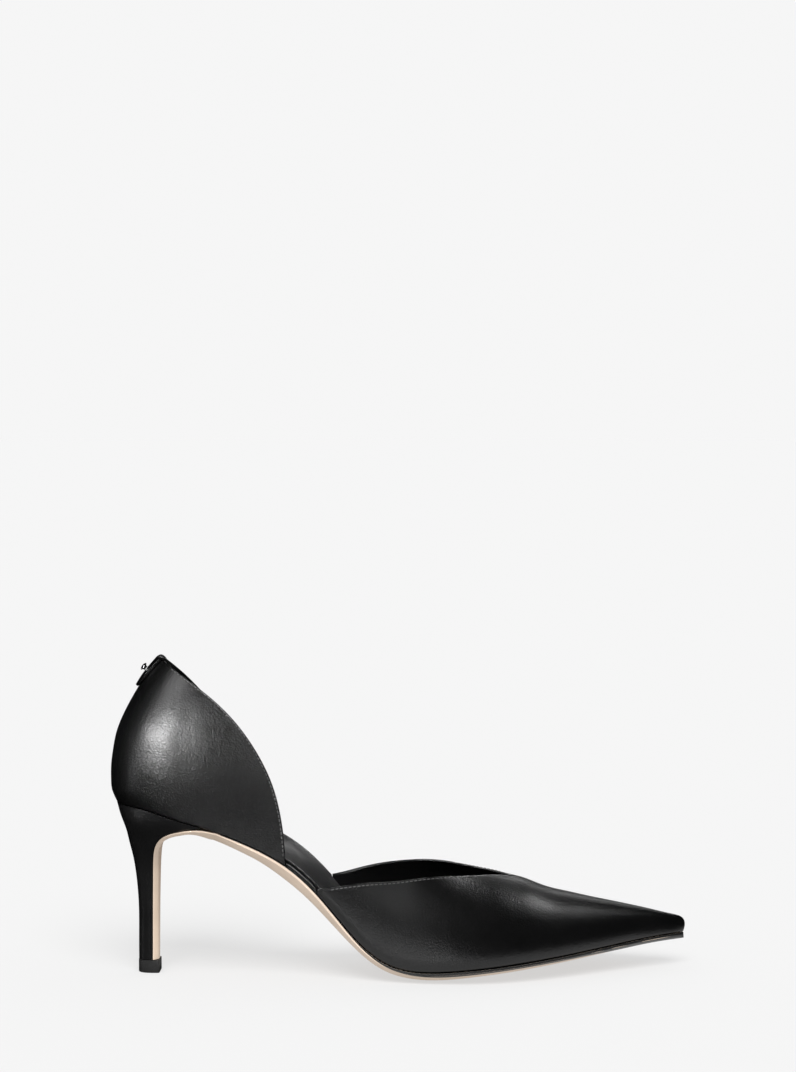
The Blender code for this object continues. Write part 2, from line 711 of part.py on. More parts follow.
def build_quarter():
    rows = [i / 16 for i in range(17)]
    places = [i / 14 for i in range(15)]
    outer, inner, index = [], [], []
    for row in rows:
        line = []
        for side, order in ((LATERAL, list(reversed(places))), (MEDIAL, places[1:])):
            for place in order:
                at = quarter_point(side, row, place)
                normal = quarter_normal(side, row, place)
                edge = max(row, place) if place > 0 else row
                thin = smooth_step((edge - EDGE_FADE) / (1 - EDGE_FADE))
                back = at - normal * (WALL + (EDGE_WALL - WALL) * thin)
                if row == 0:
                    flat = normal * np.array((1, 1, 0))
                    back = at - flat / np.linalg.norm(flat) * WALL
                    back[2] = bed(back[0], back[1], GAP / 2)
                    at[2] = bed(at[0], at[1], GAP / 2)
                line.append(len(outer))
                outer.append(at)
                inner.append(back)
        index.append(line)
    return shell("quarter", outer, inner, grid_faces(index), CALF)


# Vamp


def vamp_point(side, x, angle, inset):
    """Face of the vamp at a section: angle 0 at the sole, a quarter turn at the ridge."""
    half = half_width(x, side, inset)
    foot_y = middle(x) + side * half
    foot_z = bed(x, foot_y, GAP / 2)
    ridge_z = edge_height(x) + THROAT_HEIGHT * RIDGE_UP(share_of(x)) - inset
    climb = (ridge_z - foot_z) * math.sin(angle)
    swell = 1 - max(0.0, 1 - climb / ROLL_HEIGHT) ** 2
    swell *= ROLL * math.cos(angle) * min(1.0, half / (2 * TOE_ROUND))
    y = half * math.cos(angle) + swell
    near_tip = max(0.0, (x - along(THROAT)) / (X_TIP - along(THROAT))) ** NOSE_POWER
    nose = NOSE_BULGE * math.sin(2 * angle) - NOSE_SLOPE * (1 - math.cos(angle)) ** 1.3
    return np.array((x + nose * near_tip, middle(x) + side * y, foot_z + climb))


def vamp_grid(side, inset, sections_back, toe_x, turns):
    """Rows of points on one side of the vamp, from its rear corner to the toe."""
    grid = []
    foot = along(VAMP_FOOT[side])
    throat = along(THROAT)
    for way in sections_back:
        x = foot + (throat - foot) * way
        top = TURN[side](way) * math.pi / 2
        grid.append([vamp_point(side, x, top * t, inset) for t in turns])
    for x in toe_x:
        grid.append([vamp_point(side, x, math.pi / 2 * t, inset) for t in turns])
    return grid


def build_vamp():
    ways = [i / 15 for i in range(15)]
    turns = [i / 8 for i in range(9)]
    toe = [math.sin(math.pi / 2 * i / 16) for i in range(17)]
    throat = along(THROAT)
    skins = []
    for inset in (0.0, WALL):
        tip = X_TIP - TIP_SHARPNESS * inset
        toe_x = [throat + (tip - throat) * t for t in toe]
        skins.append({
            side: vamp_grid(side, inset, ways, toe_x, turns) for side in (LATERAL, MEDIAL)
        })
    outer, inner, index = [], [], {}
    for side in (LATERAL, MEDIAL):
        index[side] = []
        for i, row in enumerate(skins[0][side]):
            line = []
            for k in range(len(row)):
                shared = i >= len(ways) and (k == len(row) - 1 or i == len(skins[0][side]) - 1)
                if side == MEDIAL and shared:
                    line.append(index[LATERAL][i][k])
                    continue
                line.append(len(outer))
                outer.append(row[k])
                inner.append(skins[1][side][i][k])
            index[side].append(line)
    faces = grid_faces(index[LATERAL])
    faces += [tuple(reversed(face)) for face in grid_faces(index[MEDIAL])]
    return shell("vamp", outer, inner, faces, CALF)


# Back tab and stud


def tab_half_width(share):
    """Half width of the tab, share 0 at its lower end and 1 at the topline."""
    return TAB_WIDTH / 2 * rounding(share, TAB_ROUND, 2.0) * (1 - TAB_TAPER * (1 - share))


def back_face(row, y):
    """Point and outward normal of the quarter's back, y to the side of the seam."""
    side = MEDIAL if y >= 0 else LATERAL
    back, front = quarter_point(side, row, 0)[0], quarter_point(side, row, 1)[0]
    full = BODY[side](share_of(max(back, X_BACK))) * EDGE_OF["full"](row)
    rest = (1 - (abs(y) / full) ** SEAT_POWER) ** (1 / SEAT_POWER)
    forward = SEAT_ROUND * (1 - PEAK_TAPER * row * row) * (1 - rest)
    place = math.acos(1 - min(1.0, forward / (front - back))) * 2 / math.pi
    return quarter_point(side, row, place), quarter_normal(side, row, place)


def build_back_tab():
    columns = np.linspace(-1, 1, 9)
    skins = []
    for layer in (GAP + TAB_THICKNESS, GAP):
        skin = []
        for share in (0.02, 0.08, 0.16, 0.26, 0.38, 0.52, 0.67, 0.83, 1):
            row = TAB_FOOT + (1 - TAB_FOOT) * share
            skin += [tab_point(row, v * tab_half_width(share), layer) for v in columns]
        for turn in (0.2, 0.4, 0.6, 0.8, 1):
            skin += [fold_point(v * TAB_WIDTH / 2, layer, math.pi * turn) for v in columns]
        for drop in (0.5, 1):
            skin += [
                fold_point(v * TAB_WIDTH / 2, layer, math.pi, TAB_FOLD * drop) for v in columns
            ]
        skins.append(skin)
    size = len(columns)
    index = [[i * size + k for k in range(size)] for i in range(len(skins[0]) // size)]
    return shell("back_tab", *skins, grid_faces(index), CALF)


def tab_point(row, y, layer):
    at, normal = back_face(row, y)
    return at + normal * layer


def fold_point(y, layer, angle, drop=0.0):
    """Point of the tab where it folds over the topline and runs down inside."""
    at, normal = back_face(1.0, y)
    up = np.array((0.0, 0.0, 1.0))
    up = up - normal * np.dot(up, normal)
    up /= np.linalg.norm(up)
    centre = at - normal * EDGE_WALL / 2
    radius = EDGE_WALL / 2 + layer + (WALL - EDGE_WALL) * (angle / math.pi) ** 2
    rise = layer * math.sin(angle) - drop
    return centre + normal * radius * math.cos(angle) + up * rise


def build_stud():
    """Plain domed stud on the tab."""
    at, normal = back_face(STUD_ROW, 0.0)
    profile = [(0, STUD_HEIGHT)]
    profile += [
        (STUD_RADIUS * math.sin(a), STUD_HEIGHT - 0.45 * STUD_RADIUS * (1 - math.cos(a)))
        for a in np.linspace(0.35, math.pi / 2, 5)
    ]
    profile += [(STUD_RADIUS * 0.72, STUD_HEIGHT * 0.42), (STUD_RADIUS * 0.6, 0.0), (0, 0.0)]
    mesh = bpy.data.meshes.new("tab_stud")
    edges = [(i, i + 1) for i in range(len(profile) - 1)]
    mesh.from_pydata([(r, 0, h) for r, h in profile], edges, [])
    obj = bpy.data.objects.new("tab_stud", mesh)
    PARTS.objects.link(obj)
    turn = obj.modifiers.new("turn", "SCREW")
    turn.steps = turn.render_steps = 16
    turn.use_merge_vertices = True
    turn.merge_threshold = 0.00001
    turn.use_normal_calculate = True
    mesh.materials.append(STEEL)
    obj.location = at + normal * (2 * GAP + TAB_THICKNESS)
    obj.rotation_euler = (0, -math.atan2(-normal[0], normal[2]), 0)
    return obj


build_outsole()
build_insole_board()
build_vamp()
build_quarter()
build_heel()
build_top_lift()
build_sock()
build_back_tab()
build_stud()
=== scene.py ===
import math

import bmesh
import bpy
import numpy as np
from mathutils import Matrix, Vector


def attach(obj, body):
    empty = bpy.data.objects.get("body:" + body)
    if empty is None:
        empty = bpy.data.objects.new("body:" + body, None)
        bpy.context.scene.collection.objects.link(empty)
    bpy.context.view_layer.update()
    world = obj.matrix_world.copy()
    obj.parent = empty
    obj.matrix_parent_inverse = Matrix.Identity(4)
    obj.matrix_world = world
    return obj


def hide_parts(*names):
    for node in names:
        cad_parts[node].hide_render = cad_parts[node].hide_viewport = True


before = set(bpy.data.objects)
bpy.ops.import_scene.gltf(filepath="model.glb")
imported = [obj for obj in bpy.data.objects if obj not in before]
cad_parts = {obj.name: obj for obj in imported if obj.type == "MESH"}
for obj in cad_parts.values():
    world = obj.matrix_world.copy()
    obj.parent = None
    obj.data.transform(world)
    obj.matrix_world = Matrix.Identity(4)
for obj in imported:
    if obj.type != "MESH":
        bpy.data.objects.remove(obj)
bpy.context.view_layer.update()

# The shoe's surfaces are the same as in the CAD source, with finer faces, folded edges, seams and
# stitches. X runs from heel to toe, Y to the inner side, Z up, in metres.

LATERAL, MEDIAL = -1, 1
SIDES = (LATERAL, MEDIAL)
MM = 0.001

SOLE_LENGTH = 0.2502
SEAT_REACH = 0.0140
SEAT_WIDTH = 0.0505
WAIST_WIDTH = 0.0430
BALL_WIDTH = 0.0750
SWING = 0.0075
SEAT_ROUND = 0.0270
TOE_ROUND = 0.0060
HEEL_HEIGHT = 0.0763
BALL_HEIGHT = 0.0051
TOE_SPRING = 0.0100
BED_CROWN = 0.00215
ARCH_RISE = 0.0095
ARCH_SPREAD = 0.35
SOLE_EDGE = 0.0012
FLAP_EDGE = 0.0006
BEVEL_DEPTH = 0.0044
BEVEL_WIDTH = 0.0052
FLAP_DEPTH = 0.0012
FLAP_TAPER = 0.55
SOLE_BELLY = 0.0009
LIFT_HEIGHT = 0.0056
LIFT_LENGTH = 0.0095
LIFT_WIDTH = 0.0104
LIFT_CORNER = 0.0010
LIFT_ROUND = 0.62
LIFT_LEDGE = 0.00015
HEEL_ROUND = 0.75
BREAST_REACH = 0.0220
LIP_THICKNESS = 0.0008
HEEL_TWIST = 0.10
WALL = 0.0020
EDGE_WALL = 0.0013
COUNTER_HEIGHT = 0.0618
PEAK_REACH = 0.0065
PEAK_RISE = 0.0008
PEAK_TAPER = 0.26
QUARTER_SETBACK = 0.0065
THROAT_HEIGHT = 0.0333
ROLL = 0.0012
ROLL_HEIGHT = 0.0070
NOSE_BULGE = 0.0012
NOSE_SLOPE = 0.0050
NOSE_POWER = 6
BOARD_THICKNESS = 0.0014
SOCK_THICKNESS = 0.0010
SOCK_MARGIN = 0.0030
TAB_THICKNESS = 0.0012
TAB_WIDTH = 0.0125
TAB_FOLD = 0.0045
TAB_FOOT = 0.81
TAB_ROUND = 0.45
TAB_TAPER = 0.12
STUD_ROW = 0.925
STUD_RADIUS = 0.0018
STUD_HEIGHT = 0.0020
GAP = 0.0003
SLIP = 0.0004
SEAT_POWER, TOE_POWER = 2.2, 2.0
X_BACK = -SEAT_REACH
X_TIP = SOLE_LENGTH - SEAT_REACH
TIP_SHARPNESS = 2.4
THROAT = 0.6922
QUARTER_FOOT = {LATERAL: 0.292, MEDIAL: 0.266}
VAMP_FOOT = {LATERAL: 0.3467, MEDIAL: 0.380}
CLIMB_END, SPRING_START = 0.54, 0.50

# Place along the sole, and its half width on the outer and the inner side
PLAN = (
    (0.00, SEAT_WIDTH, 0.505, 0.505), (0.08, SEAT_WIDTH, 0.505, 0.505),
    (0.155, SEAT_WIDTH, 0.490, 0.485), (0.235, WAIST_WIDTH, 0.525, 0.525),
    (0.30, WAIST_WIDTH, 0.500, 0.500), (0.375, WAIST_WIDTH, 0.500, 0.505),
    (0.435, BALL_WIDTH, 0.325, 0.330), (0.50, BALL_WIDTH, 0.382, 0.405),
    (0.56, BALL_WIDTH, 0.427, 0.487), (0.62, BALL_WIDTH, 0.450, 0.538),
    (0.66, BALL_WIDTH, 0.447, 0.551), (0.72, BALL_WIDTH, 0.405, 0.519),
    (0.78, BALL_WIDTH, 0.330, 0.440), (0.84, BALL_WIDTH, 0.243, 0.332),
    (0.90, BALL_WIDTH, 0.157, 0.220), (0.95, BALL_WIDTH, 0.092, 0.128),
    (1.00, BALL_WIDTH, 0.036, 0.044),
)
# Place along the sole, and shares of the heel's height, toe spring, crown, arch rise and bevel
PROFILE = (
    (0.00, 1.000, 0.00, 0.30, 0.00, 0.50), (0.05, 0.979, 0.00, 0.35, 0.00, 0.50),
    (0.10, 0.923, 0.00, 0.38, 0.02, 0.52), (0.15, 0.870, 0.00, 0.38, 0.12, 0.60),
    (0.20, 0.803, 0.00, 0.36, 0.32, 0.58), (0.25, 0.721, 0.00, 0.36, 0.52, 0.64),
    (0.30, 0.611, 0.00, 0.38, 0.70, 0.80), (0.34, 0.482, 0.00, 0.42, 0.86, 0.70),
    (0.38, 0.318, 0.00, 0.52, 0.98, 0.50), (0.42, 0.159, 0.00, 0.70, 0.94, 0.35),
    (0.46, 0.052, 0.00, 0.88, 0.68, 0.36), (0.50, 0.007, 0.00, 0.98, 0.36, 0.39),
    (0.54, 0.000, 0.00, 1.00, 0.13, 0.44), (0.58, 0.000, 0.06, 1.00, 0.02, 0.44),
    (0.62, 0.000, 0.15, 0.98, 0.00, 0.40), (0.70, 0.000, 0.345, 0.90, 0.00, 0.36),
    (0.78, 0.000, 0.52, 0.76, 0.00, 0.30), (0.86, 0.000, 0.715, 0.58, 0.00, 0.24),
    (0.94, 0.000, 0.905, 0.36, 0.00, 0.17), (1.00, 0.000, 1.00, 0.22, 0.00, 0.12),
)
# Heel from the lift to the seat: climb at its back and front, and widening at back, front and sides
HEEL = (
    (0.000, 0.000, 0.00, 0.000, 0.000), (0.130, 0.130, 0.00, 0.005, 0.005),
    (0.316, 0.316, 0.00, 0.010, 0.030), (0.487, 0.480, 0.08, 0.020, 0.090),
    (0.630, 0.600, 0.23, 0.030, 0.190), (0.730, 0.683, 0.41, 0.050, 0.330),
    (0.809, 0.744, 0.55, 0.100, 0.490), (0.873, 0.797, 0.72, 0.220, 0.680),
    (0.923, 0.834, 0.86, 0.427, 0.840), (0.964, 0.857, 0.95, 0.714, 0.950),
)
# Back of the quarter: share of its height, and lean forward
BACK = (
    (0.00, 0.000), (0.04, -0.019), (0.08, -0.034), (0.15, -0.041), (0.25, -0.040), (0.37, -0.025),
    (0.48, -0.003), (0.59, 0.038), (0.70, 0.093), (0.80, 0.150), (0.90, 0.214), (1.00, 0.297),
)
# Front edge of the quarter: row, reach and rise from foot to peak, and fullness
EDGE = (
    (0.00, 0.000, 0.000, 1.000), (0.10, 0.011, 0.122, 1.020), (0.23, 0.049, 0.280, 1.030),
    (0.37, 0.126, 0.437, 1.015), (0.51, 0.260, 0.593, 0.975), (0.67, 0.459, 0.749, 0.890),
    (0.81, 0.672, 0.863, 0.780), (0.92, 0.859, 0.943, 0.670), (1.00, 1.000, 1.000, 0.590),
)
# Ridge of the vamp over the bed
RIDGE = (
    (0.34, 1.30), (0.42, 1.62), (0.50, 1.67), (0.56, 1.46), (0.60, 1.28), (0.64, 1.14),
    (0.67, 1.062), (0.695, 0.993), (0.715, 0.938), (0.735, 0.864), (0.76, 0.776), (0.79, 0.700),
    (0.83, 0.600), (0.87, 0.505), (0.91, 0.410), (0.95, 0.318), (0.98, 0.254), (1.00, 0.220),
)
# Topline of the vamp: way from its corner to the V, and turn up the outer and the inner side
TOPLINE = (
    (0.00, 0.040, 0.040), (0.06, 0.128, 0.135), (0.15, 0.252, 0.270), (0.28, 0.388, 0.418),
    (0.42, 0.477, 0.518), (0.56, 0.570, 0.620), (0.70, 0.690, 0.738), (0.83, 0.824, 0.850),
    (0.93, 0.926, 0.937), (1.00, 1.000, 1.000),
)


def spline(xs, ys):
    """Natural cubic spline through the points, straight beyond its ends, for numbers or arrays."""
    xs, ys = np.asarray(xs, float), np.asarray(ys, float)
    n = len(xs)
    h = np.diff(xs)
    matrix = np.eye(n)
    right = np.zeros(n)
    for i in range(1, n - 1):
        matrix[i, i - 1:i + 2] = h[i - 1], 2 * (h[i - 1] + h[i]), h[i]
        right[i] = 3 * ((ys[i + 1] - ys[i]) / h[i] - (ys[i] - ys[i - 1]) / h[i - 1])
    c = np.linalg.solve(matrix, right)
    d = np.diff(c) / (3 * h)
    b = np.diff(ys) / h - h * (2 * c[:-1] + c[1:]) / 3
    end = b[-1] + 2 * c[-2] * h[-1] + 3 * d[-1] * h[-1] ** 2

    def value(x):
        x = np.asarray(x, float)
        i = np.clip(np.searchsorted(xs, x, side="right") - 1, 0, n - 2)
        t = x - xs[i]
        inside = ys[i] + b[i] * t + c[i] * t * t + d[i] * t ** 3
        ahead = ys[-1] + end * (x - xs[-1])
        return np.where(x < xs[0], ys[0] + b[0] * (x - xs[0]), np.where(x > xs[-1], ahead, inside))

    return value


def column(table, number):
    """Curve through one column of a table over its first column."""
    return spline([row[0] for row in table], [row[number] for row in table])


BODY = {
    side: spline([row[0] for row in PLAN], [row[1] * row[number] for row in PLAN])
    for side, number in ((LATERAL, 2), (MEDIAL, 3))
}
CLIMB, SPRING, CROWN, ARCH, BEVEL = (column(PROFILE, i) for i in range(1, 6))
HEEL_ROWS = np.linspace(0, 1, len(HEEL))
BACK_UP, FRONT_UP, BACK_OUT, FRONT_OUT, SIDE_OUT = (
    spline(HEEL_ROWS, [row[i] for row in HEEL]) for i in range(5)
)
LEAN = column(BACK, 1)
REACH, RISE, FULL = (column(EDGE, i) for i in range(1, 4))
RIDGE_UP = column(RIDGE, 1)
TURN = {LATERAL: column(TOPLINE, 1), MEDIAL: column(TOPLINE, 2)}


def along(share):
    """Place on the X axis at a share of the sole's length."""
    return X_BACK + share * SOLE_LENGTH


def share_of(x):
    return (np.maximum(x, X_BACK) - X_BACK) / SOLE_LENGTH


X_THROAT = along(THROAT)


def rounding(distance, length, power):
    """Rise from 0 to 1 over a length, as at a rounded end."""
    rest = 1 - np.clip(distance / length, 0.0, 1.0)
    return (1 - rest ** power) ** (1 / power)


def smooth_step(t):
    t = np.clip(t, 0.0, 1.0)
    return t * t * (3 - 2 * t)


def ramp(count):
    return np.linspace(0, 1, count)


def stretches(start, *parts):
    """Rising values from a start, each part with its number of steps and its end."""
    values = []
    for steps, end in parts:
        values.append(np.linspace(start, end, steps + 1)[:-1])
        start = end
    return np.concatenate(values + [[start]])


def middle(x):
    """Middle line of the sole, which swings to the outer side."""
    return -SWING * np.sin(math.pi * x / X_TIP)


def half_width(x, side, inset=0.0):
    """Half width of the sole's outline, or of one that lies inside it by the inset."""
    body = np.maximum(BODY[side](share_of(x)) - inset, 0.0)
    back = rounding(x - X_BACK - inset, SEAT_ROUND - inset, SEAT_POWER)
    toe = rounding(X_TIP - TIP_SHARPNESS * inset - x, TOE_ROUND, TOE_POWER)
    return body * back * toe


def edge_height(x):
    """Height of the bed at its outer edge."""
    s = share_of(x)
    climb = np.where(s < CLIMB_END, (HEEL_HEIGHT - BALL_HEIGHT) * CLIMB(s), 0.0)
    return BALL_HEIGHT + climb + np.where(s > SPRING_START, TOE_SPRING * SPRING(s), 0.0)


def bed_slope(x):
    step = SOLE_LENGTH / 2000
    return (edge_height(x + step) - edge_height(x - step)) / (2 * step)


def arch_share(t):
    return ARCH_SPREAD * t + (1 - ARCH_SPREAD) * t ** 6


def bed(x, y, lift=0.0):
    """Height of the bed that sole and upper share, or of a face lifted square off it."""
    s = share_of(x)
    offset = y - middle(x)
    v = np.clip(offset / np.where(offset > 0, BODY[MEDIAL](s), BODY[LATERAL](s)), -1.0, 1.0)
    arch = ARCH_RISE * np.maximum(ARCH(s), 0.0) * arch_share((v + 1) / 2)
    crown = BED_CROWN * CROWN(s) * (1 - v * v)
    return edge_height(x) + arch - crown + lift * np.hypot(1, bed_slope(x))


def points(x, y, z):
    return np.stack(np.broadcast_arrays(x, y, z), -1)


def rim(x, side, lift=0.0):
    y = middle(x) + side * half_width(x, side)
    return points(x, y, bed(x, y, lift))


def unit(v):
    return v / np.maximum(np.linalg.norm(v, axis=-1, keepdims=True), 1e-12)


# Quarter and vamp faces


def quarter_point(side, row, place):
    """Outer face of the quarter: row 0 at the sole to 1 at the peak, place 0 at the back seam."""
    row, place = np.broadcast_arrays(np.asarray(row, float), np.asarray(place, float))
    round_length = SEAT_ROUND * (1 - PEAK_TAPER * row * row)
    seat_z = rim(X_BACK, side)[..., 2]
    x_back = X_BACK + COUNTER_HEIGHT * LEAN(row)
    foot = rim(along(QUARTER_FOOT[side]), side)
    peak_z = seat_z + COUNTER_HEIGHT + PEAK_RISE
    x_front = foot[0] + (PEAK_REACH - foot[0]) * REACH(row)
    x_front = x_front - (QUARTER_SETBACK * np.sin(math.pi * row) if side == MEDIAL else 0.0)
    z_front = foot[2] + (peak_z - foot[2]) * RISE(row)
    share = 1 - np.cos(place * math.pi / 2)
    x = x_back + (x_front - x_back) * share
    climb_back = seat_z + COUNTER_HEIGHT * row - rim(np.maximum(x_back, X_BACK), side)[..., 2]
    climb_front = z_front - rim(x_front, side)[..., 2]
    y = BODY[side](share_of(x)) * rounding(x - x_back, round_length, SEAT_POWER) * FULL(row)
    z = rim(np.maximum(x, X_BACK), side)[..., 2] + climb_back + (climb_front - climb_back) * share
    return points(x, middle(x) + side * y, z)


def quarter_normal(side, row, place):
    """Outward normal of the quarter's outer face."""
    step = 1e-3
    row, place = np.broadcast_arrays(np.asarray(row, float), np.asarray(place, float))
    up = quarter_point(side, np.minimum(row + step, 1), place)
    up = up - quarter_point(side, np.maximum(row - step, 0), place)
    front = quarter_point(side, row, np.minimum(place + step, 1))
    front = front - quarter_point(side, row, np.maximum(place - step, 0))
    front = np.where((place == 0)[..., None], np.array((0.0, float(side), 0.0)), front)
    return unit(np.cross(up, front) * side)


def vamp_point(side, x, angle, inset):
    """Face of the vamp at a section: angle 0 at the sole, a quarter turn at the ridge."""
    half = half_width(x, side, inset)
    foot_y = middle(x) + side * half
    foot_z = bed(x, foot_y, GAP / 2)
    ridge_z = edge_height(x) + THROAT_HEIGHT * RIDGE_UP(share_of(x)) - inset
    climb = (ridge_z - foot_z) * np.sin(angle)
    swell = 1 - np.maximum(0.0, 1 - climb / ROLL_HEIGHT) ** 2
    swell = swell * ROLL * np.cos(angle) * np.minimum(1.0, half / (2 * TOE_ROUND))
    y = half * np.cos(angle) + swell
    near_tip = np.clip((x - X_THROAT) / (X_TIP - X_THROAT), 0.0, None) ** NOSE_POWER
    nose = NOSE_BULGE * np.sin(2 * angle) - NOSE_SLOPE * (1 - np.cos(angle)) ** 1.3
    return points(x + nose * near_tip, middle(x) + side * y, foot_z + climb)


# Meshes


SMOOTH_ANGLE = math.radians(40)
WELD = 1e-6


def mesh_object(name, verts, faces, material, weld=WELD):
    """Smooth mesh whose points closer than the weld distance become one."""
    mesh = bpy.data.meshes.new(name)
    bm = bmesh.new()
    made = [bm.verts.new(p) for p in verts]
    for face in faces:
        bm.faces.new([made[i] for i in face])
    if weld:
        bmesh.ops.remove_doubles(bm, verts=bm.verts, dist=weld)
        bmesh.ops.dissolve_degenerate(bm, edges=bm.edges, dist=weld)
    bmesh.ops.recalc_face_normals(bm, faces=bm.faces)
    bm.to_mesh(mesh)
    bm.free()
    mesh.shade_smooth()
    mesh.set_sharp_from_angle(angle=SMOOTH_ANGLE)
    mesh.materials.append(material)
    obj = bpy.data.objects.new(name, mesh)
    bpy.context.scene.collection.objects.link(obj)
    return obj


def grid_faces(rows, columns, first=0, wrap=False):
    """Quads between rows of points, the first point having the number first."""
    faces = []
    for r in range(rows - 1):
        for c in range(columns if wrap else columns - 1):
            a, b = first + r * columns + c, first + r * columns + (c + 1) % columns
            faces.append((a, b, b + columns, a + columns))
    return faces


def loft(name, rings, material):
    """Closed solid through rings of equally many points."""
    size = len(rings[0])
    verts = np.concatenate(rings)
    faces = grid_faces(len(rings), size, wrap=True)
    faces += [tuple(range(size)), tuple(range(len(verts) - size, len(verts)))]
    return mesh_object(name, verts, faces, material)


def sheet_pair(name, outer, inner, material):
    """Wall from two skins, each a list of grids, whose free borders meet or are closed by a strip."""
    verts, faces, start = [], [], 0
    for a, b in zip(outer, inner):
        rows, columns = a.shape[:2]
        size = rows * columns
        verts += [a.reshape(-1, 3), b.reshape(-1, 3)]
        faces += grid_faces(rows, columns, start) + grid_faces(rows, columns, start + size)
        for i in range(start, start + columns - 1):
            faces.append((i, i + 1, i + 1 + size, i + size))
        start += 2 * size
    return mesh_object(name, np.concatenate(verts), faces, material)


# Walls of vamp and quarter: leather outside, lining inside


# Thickness of the leather, depths of the lining's two faces, and how far its edge lies back
LEATHER = 0.0011
LINING_FACES = (0.00118, 0.0019)
LINING_SETBACK = 0.0009
FOOT_RADIUS = 0.0007
STITCH_LINE = 0.0011
# Depth and half width of the groove that a row of stitches lies in
GROOVE = (0.00011, 0.00022)
TAB_GROOVE = (0.00008, 0.0002)
# Distances from a folded edge at which the walls have points
NEAR_EDGE = MM * np.array((
    0, 0.03, 0.1, 0.2, 0.32, 0.45, 0.6, 0.75, 0.88, 0.98, 1.06, 1.14, 1.24, 1.4, 1.7, 2.2, 3.0
))
VAMP_COLUMNS, QUARTER_COLUMNS = 42, 64
VAMP_SAMPLES, QUARTER_SAMPLES = ramp(60), ramp(80)
VAMP_WAYS = stretches(0, (13, 0.08), (69, 0.97), (11, 1.0))[:-1]
VAMP_TOE = np.sin(math.pi / 2 * stretches(0, (5, 0.03), (69, 1.0)))
QUARTER_ROWS = stretches(0, (7, 0.02), (75, 0.95), (21, 1.0))
LINING_TOE = VAMP_TOE[:-6]
# Way to the topline at the peak, over the height below it
PEAK_SLANT = 1.12


def round_off(distance, radius):
    """How far a rounded edge lies below the face, at a distance from the edge."""
    t = np.clip(1 - distance / radius, 0.0, 1.0)
    return radius * (1 - np.sqrt(1 - t * t))


def fold_depth(distance):
    return round_off(distance, LEATHER / 2)


def stitch_groove(distance, groove=GROOVE):
    depth, width = groove
    return depth * np.exp(-((distance - STITCH_LINE) / width) ** 2)


def edge_columns(lengths, count, setback=0.0):
    """Distances from the edge, near ones first, for sections of the given lengths."""
    near = NEAR_EDGE[None, :] * np.minimum(1, lengths / (2 * NEAR_EDGE[-1]))[:, None]
    rest = ramp(count + 1)[1:] ** 0.9
    far = near[:, -1:] + (lengths[:, None] - near[:, -1:]) * rest[None, :]
    e = np.concatenate([near, far], 1)
    return setback + e * ((lengths - setback) / lengths)[:, None]


def along_curve(samples, distances):
    """For each row of points, the parameter (0 to 1) at each distance from the row's last point."""
    steps = np.linalg.norm(np.diff(samples, axis=1), axis=2)
    length = np.concatenate([np.zeros((len(steps), 1)), np.cumsum(steps, 1)], 1)
    t = np.linspace(0, 1, samples.shape[1])
    total = length[:, -1]
    return np.stack([np.interp(total[i] - distances[i], length[i], t) for i in range(len(total))])


def vamp_skin(side, toe, depth, setback=0.0, tuck=True, tip_inset=0.0):
    """One skin of the vamp's side: rows from its rear corner to the toe, columns from foot to edge."""
    foot = along(VAMP_FOOT[side])
    tip = X_TIP - TIP_SHARPNESS * tip_inset
    x = np.concatenate([foot + (X_THROAT - foot) * VAMP_WAYS, X_THROAT + (tip - X_THROAT) * toe])
    way = np.concatenate([VAMP_WAYS, np.ones(len(toe))])
    top = TURN[side](way) * math.pi / 2
    samples = vamp_point(side, x[:, None], top[:, None] * VAMP_SAMPLES[None, :], tip_inset)
    total = np.linalg.norm(np.diff(samples, axis=1), axis=2).sum(1)
    e = edge_columns(total, VAMP_COLUMNS, setback)
    t = along_curve(samples, e)
    beyond = np.maximum(x - X_THROAT, 0.0)[:, None]
    inset = depth(np.hypot(beyond, e))
    if tuck:
        inset = inset + round_off(total[:, None] - e, FOOT_RADIUS)
    return vamp_point(side, x[:, None], top[:, None] * t, inset)[:, ::-1]


def quarter_skin(side, depth, setback=0.0, tuck=True):
    """One skin of the quarter's side: rows from sole to peak, columns from the front to the seam."""
    rows = QUARTER_ROWS * (1 - setback / COUNTER_HEIGHT)
    samples = quarter_point(side, rows[:, None], QUARTER_SAMPLES[None, :])
    total = np.linalg.norm(np.diff(samples, axis=1), axis=2).sum(1)
    e = edge_columns(total, QUARTER_COLUMNS, setback)
    place = along_curve(samples, e)
    place[:, -1] = 0.0
    row = np.broadcast_to(rows[:, None], place.shape)
    inset = depth(np.minimum(e, (1 - row) * COUNTER_HEIGHT * PEAK_SLANT))
    if tuck:
        inset = inset + round_off(row * COUNTER_HEIGHT, FOOT_RADIUS)
    return quarter_point(side, row, place) - quarter_normal(side, row, place) * inset[..., None]


def outer_depth(distance):
    return fold_depth(distance) + stitch_groove(distance)


def inner_depth(distance):
    return LEATHER - fold_depth(distance)


def build_vamp():
    """Leather and lining of the vamp."""
    outer = [vamp_skin(s, VAMP_TOE, outer_depth) for s in SIDES]
    inner = [vamp_skin(s, VAMP_TOE, inner_depth, tuck=False, tip_inset=LEATHER) for s in SIDES]
    lining = [
        [
            vamp_skin(s, LINING_TOE, lambda d, h=h: h + 0 * d, LINING_SETBACK, False, h)
            for s in SIDES
        ]
        for h in LINING_FACES
    ]
    leather = sheet_pair("vamp_leather", outer, inner, CALF)
    return leather, sheet_pair("vamp_lining", *lining, LINING)


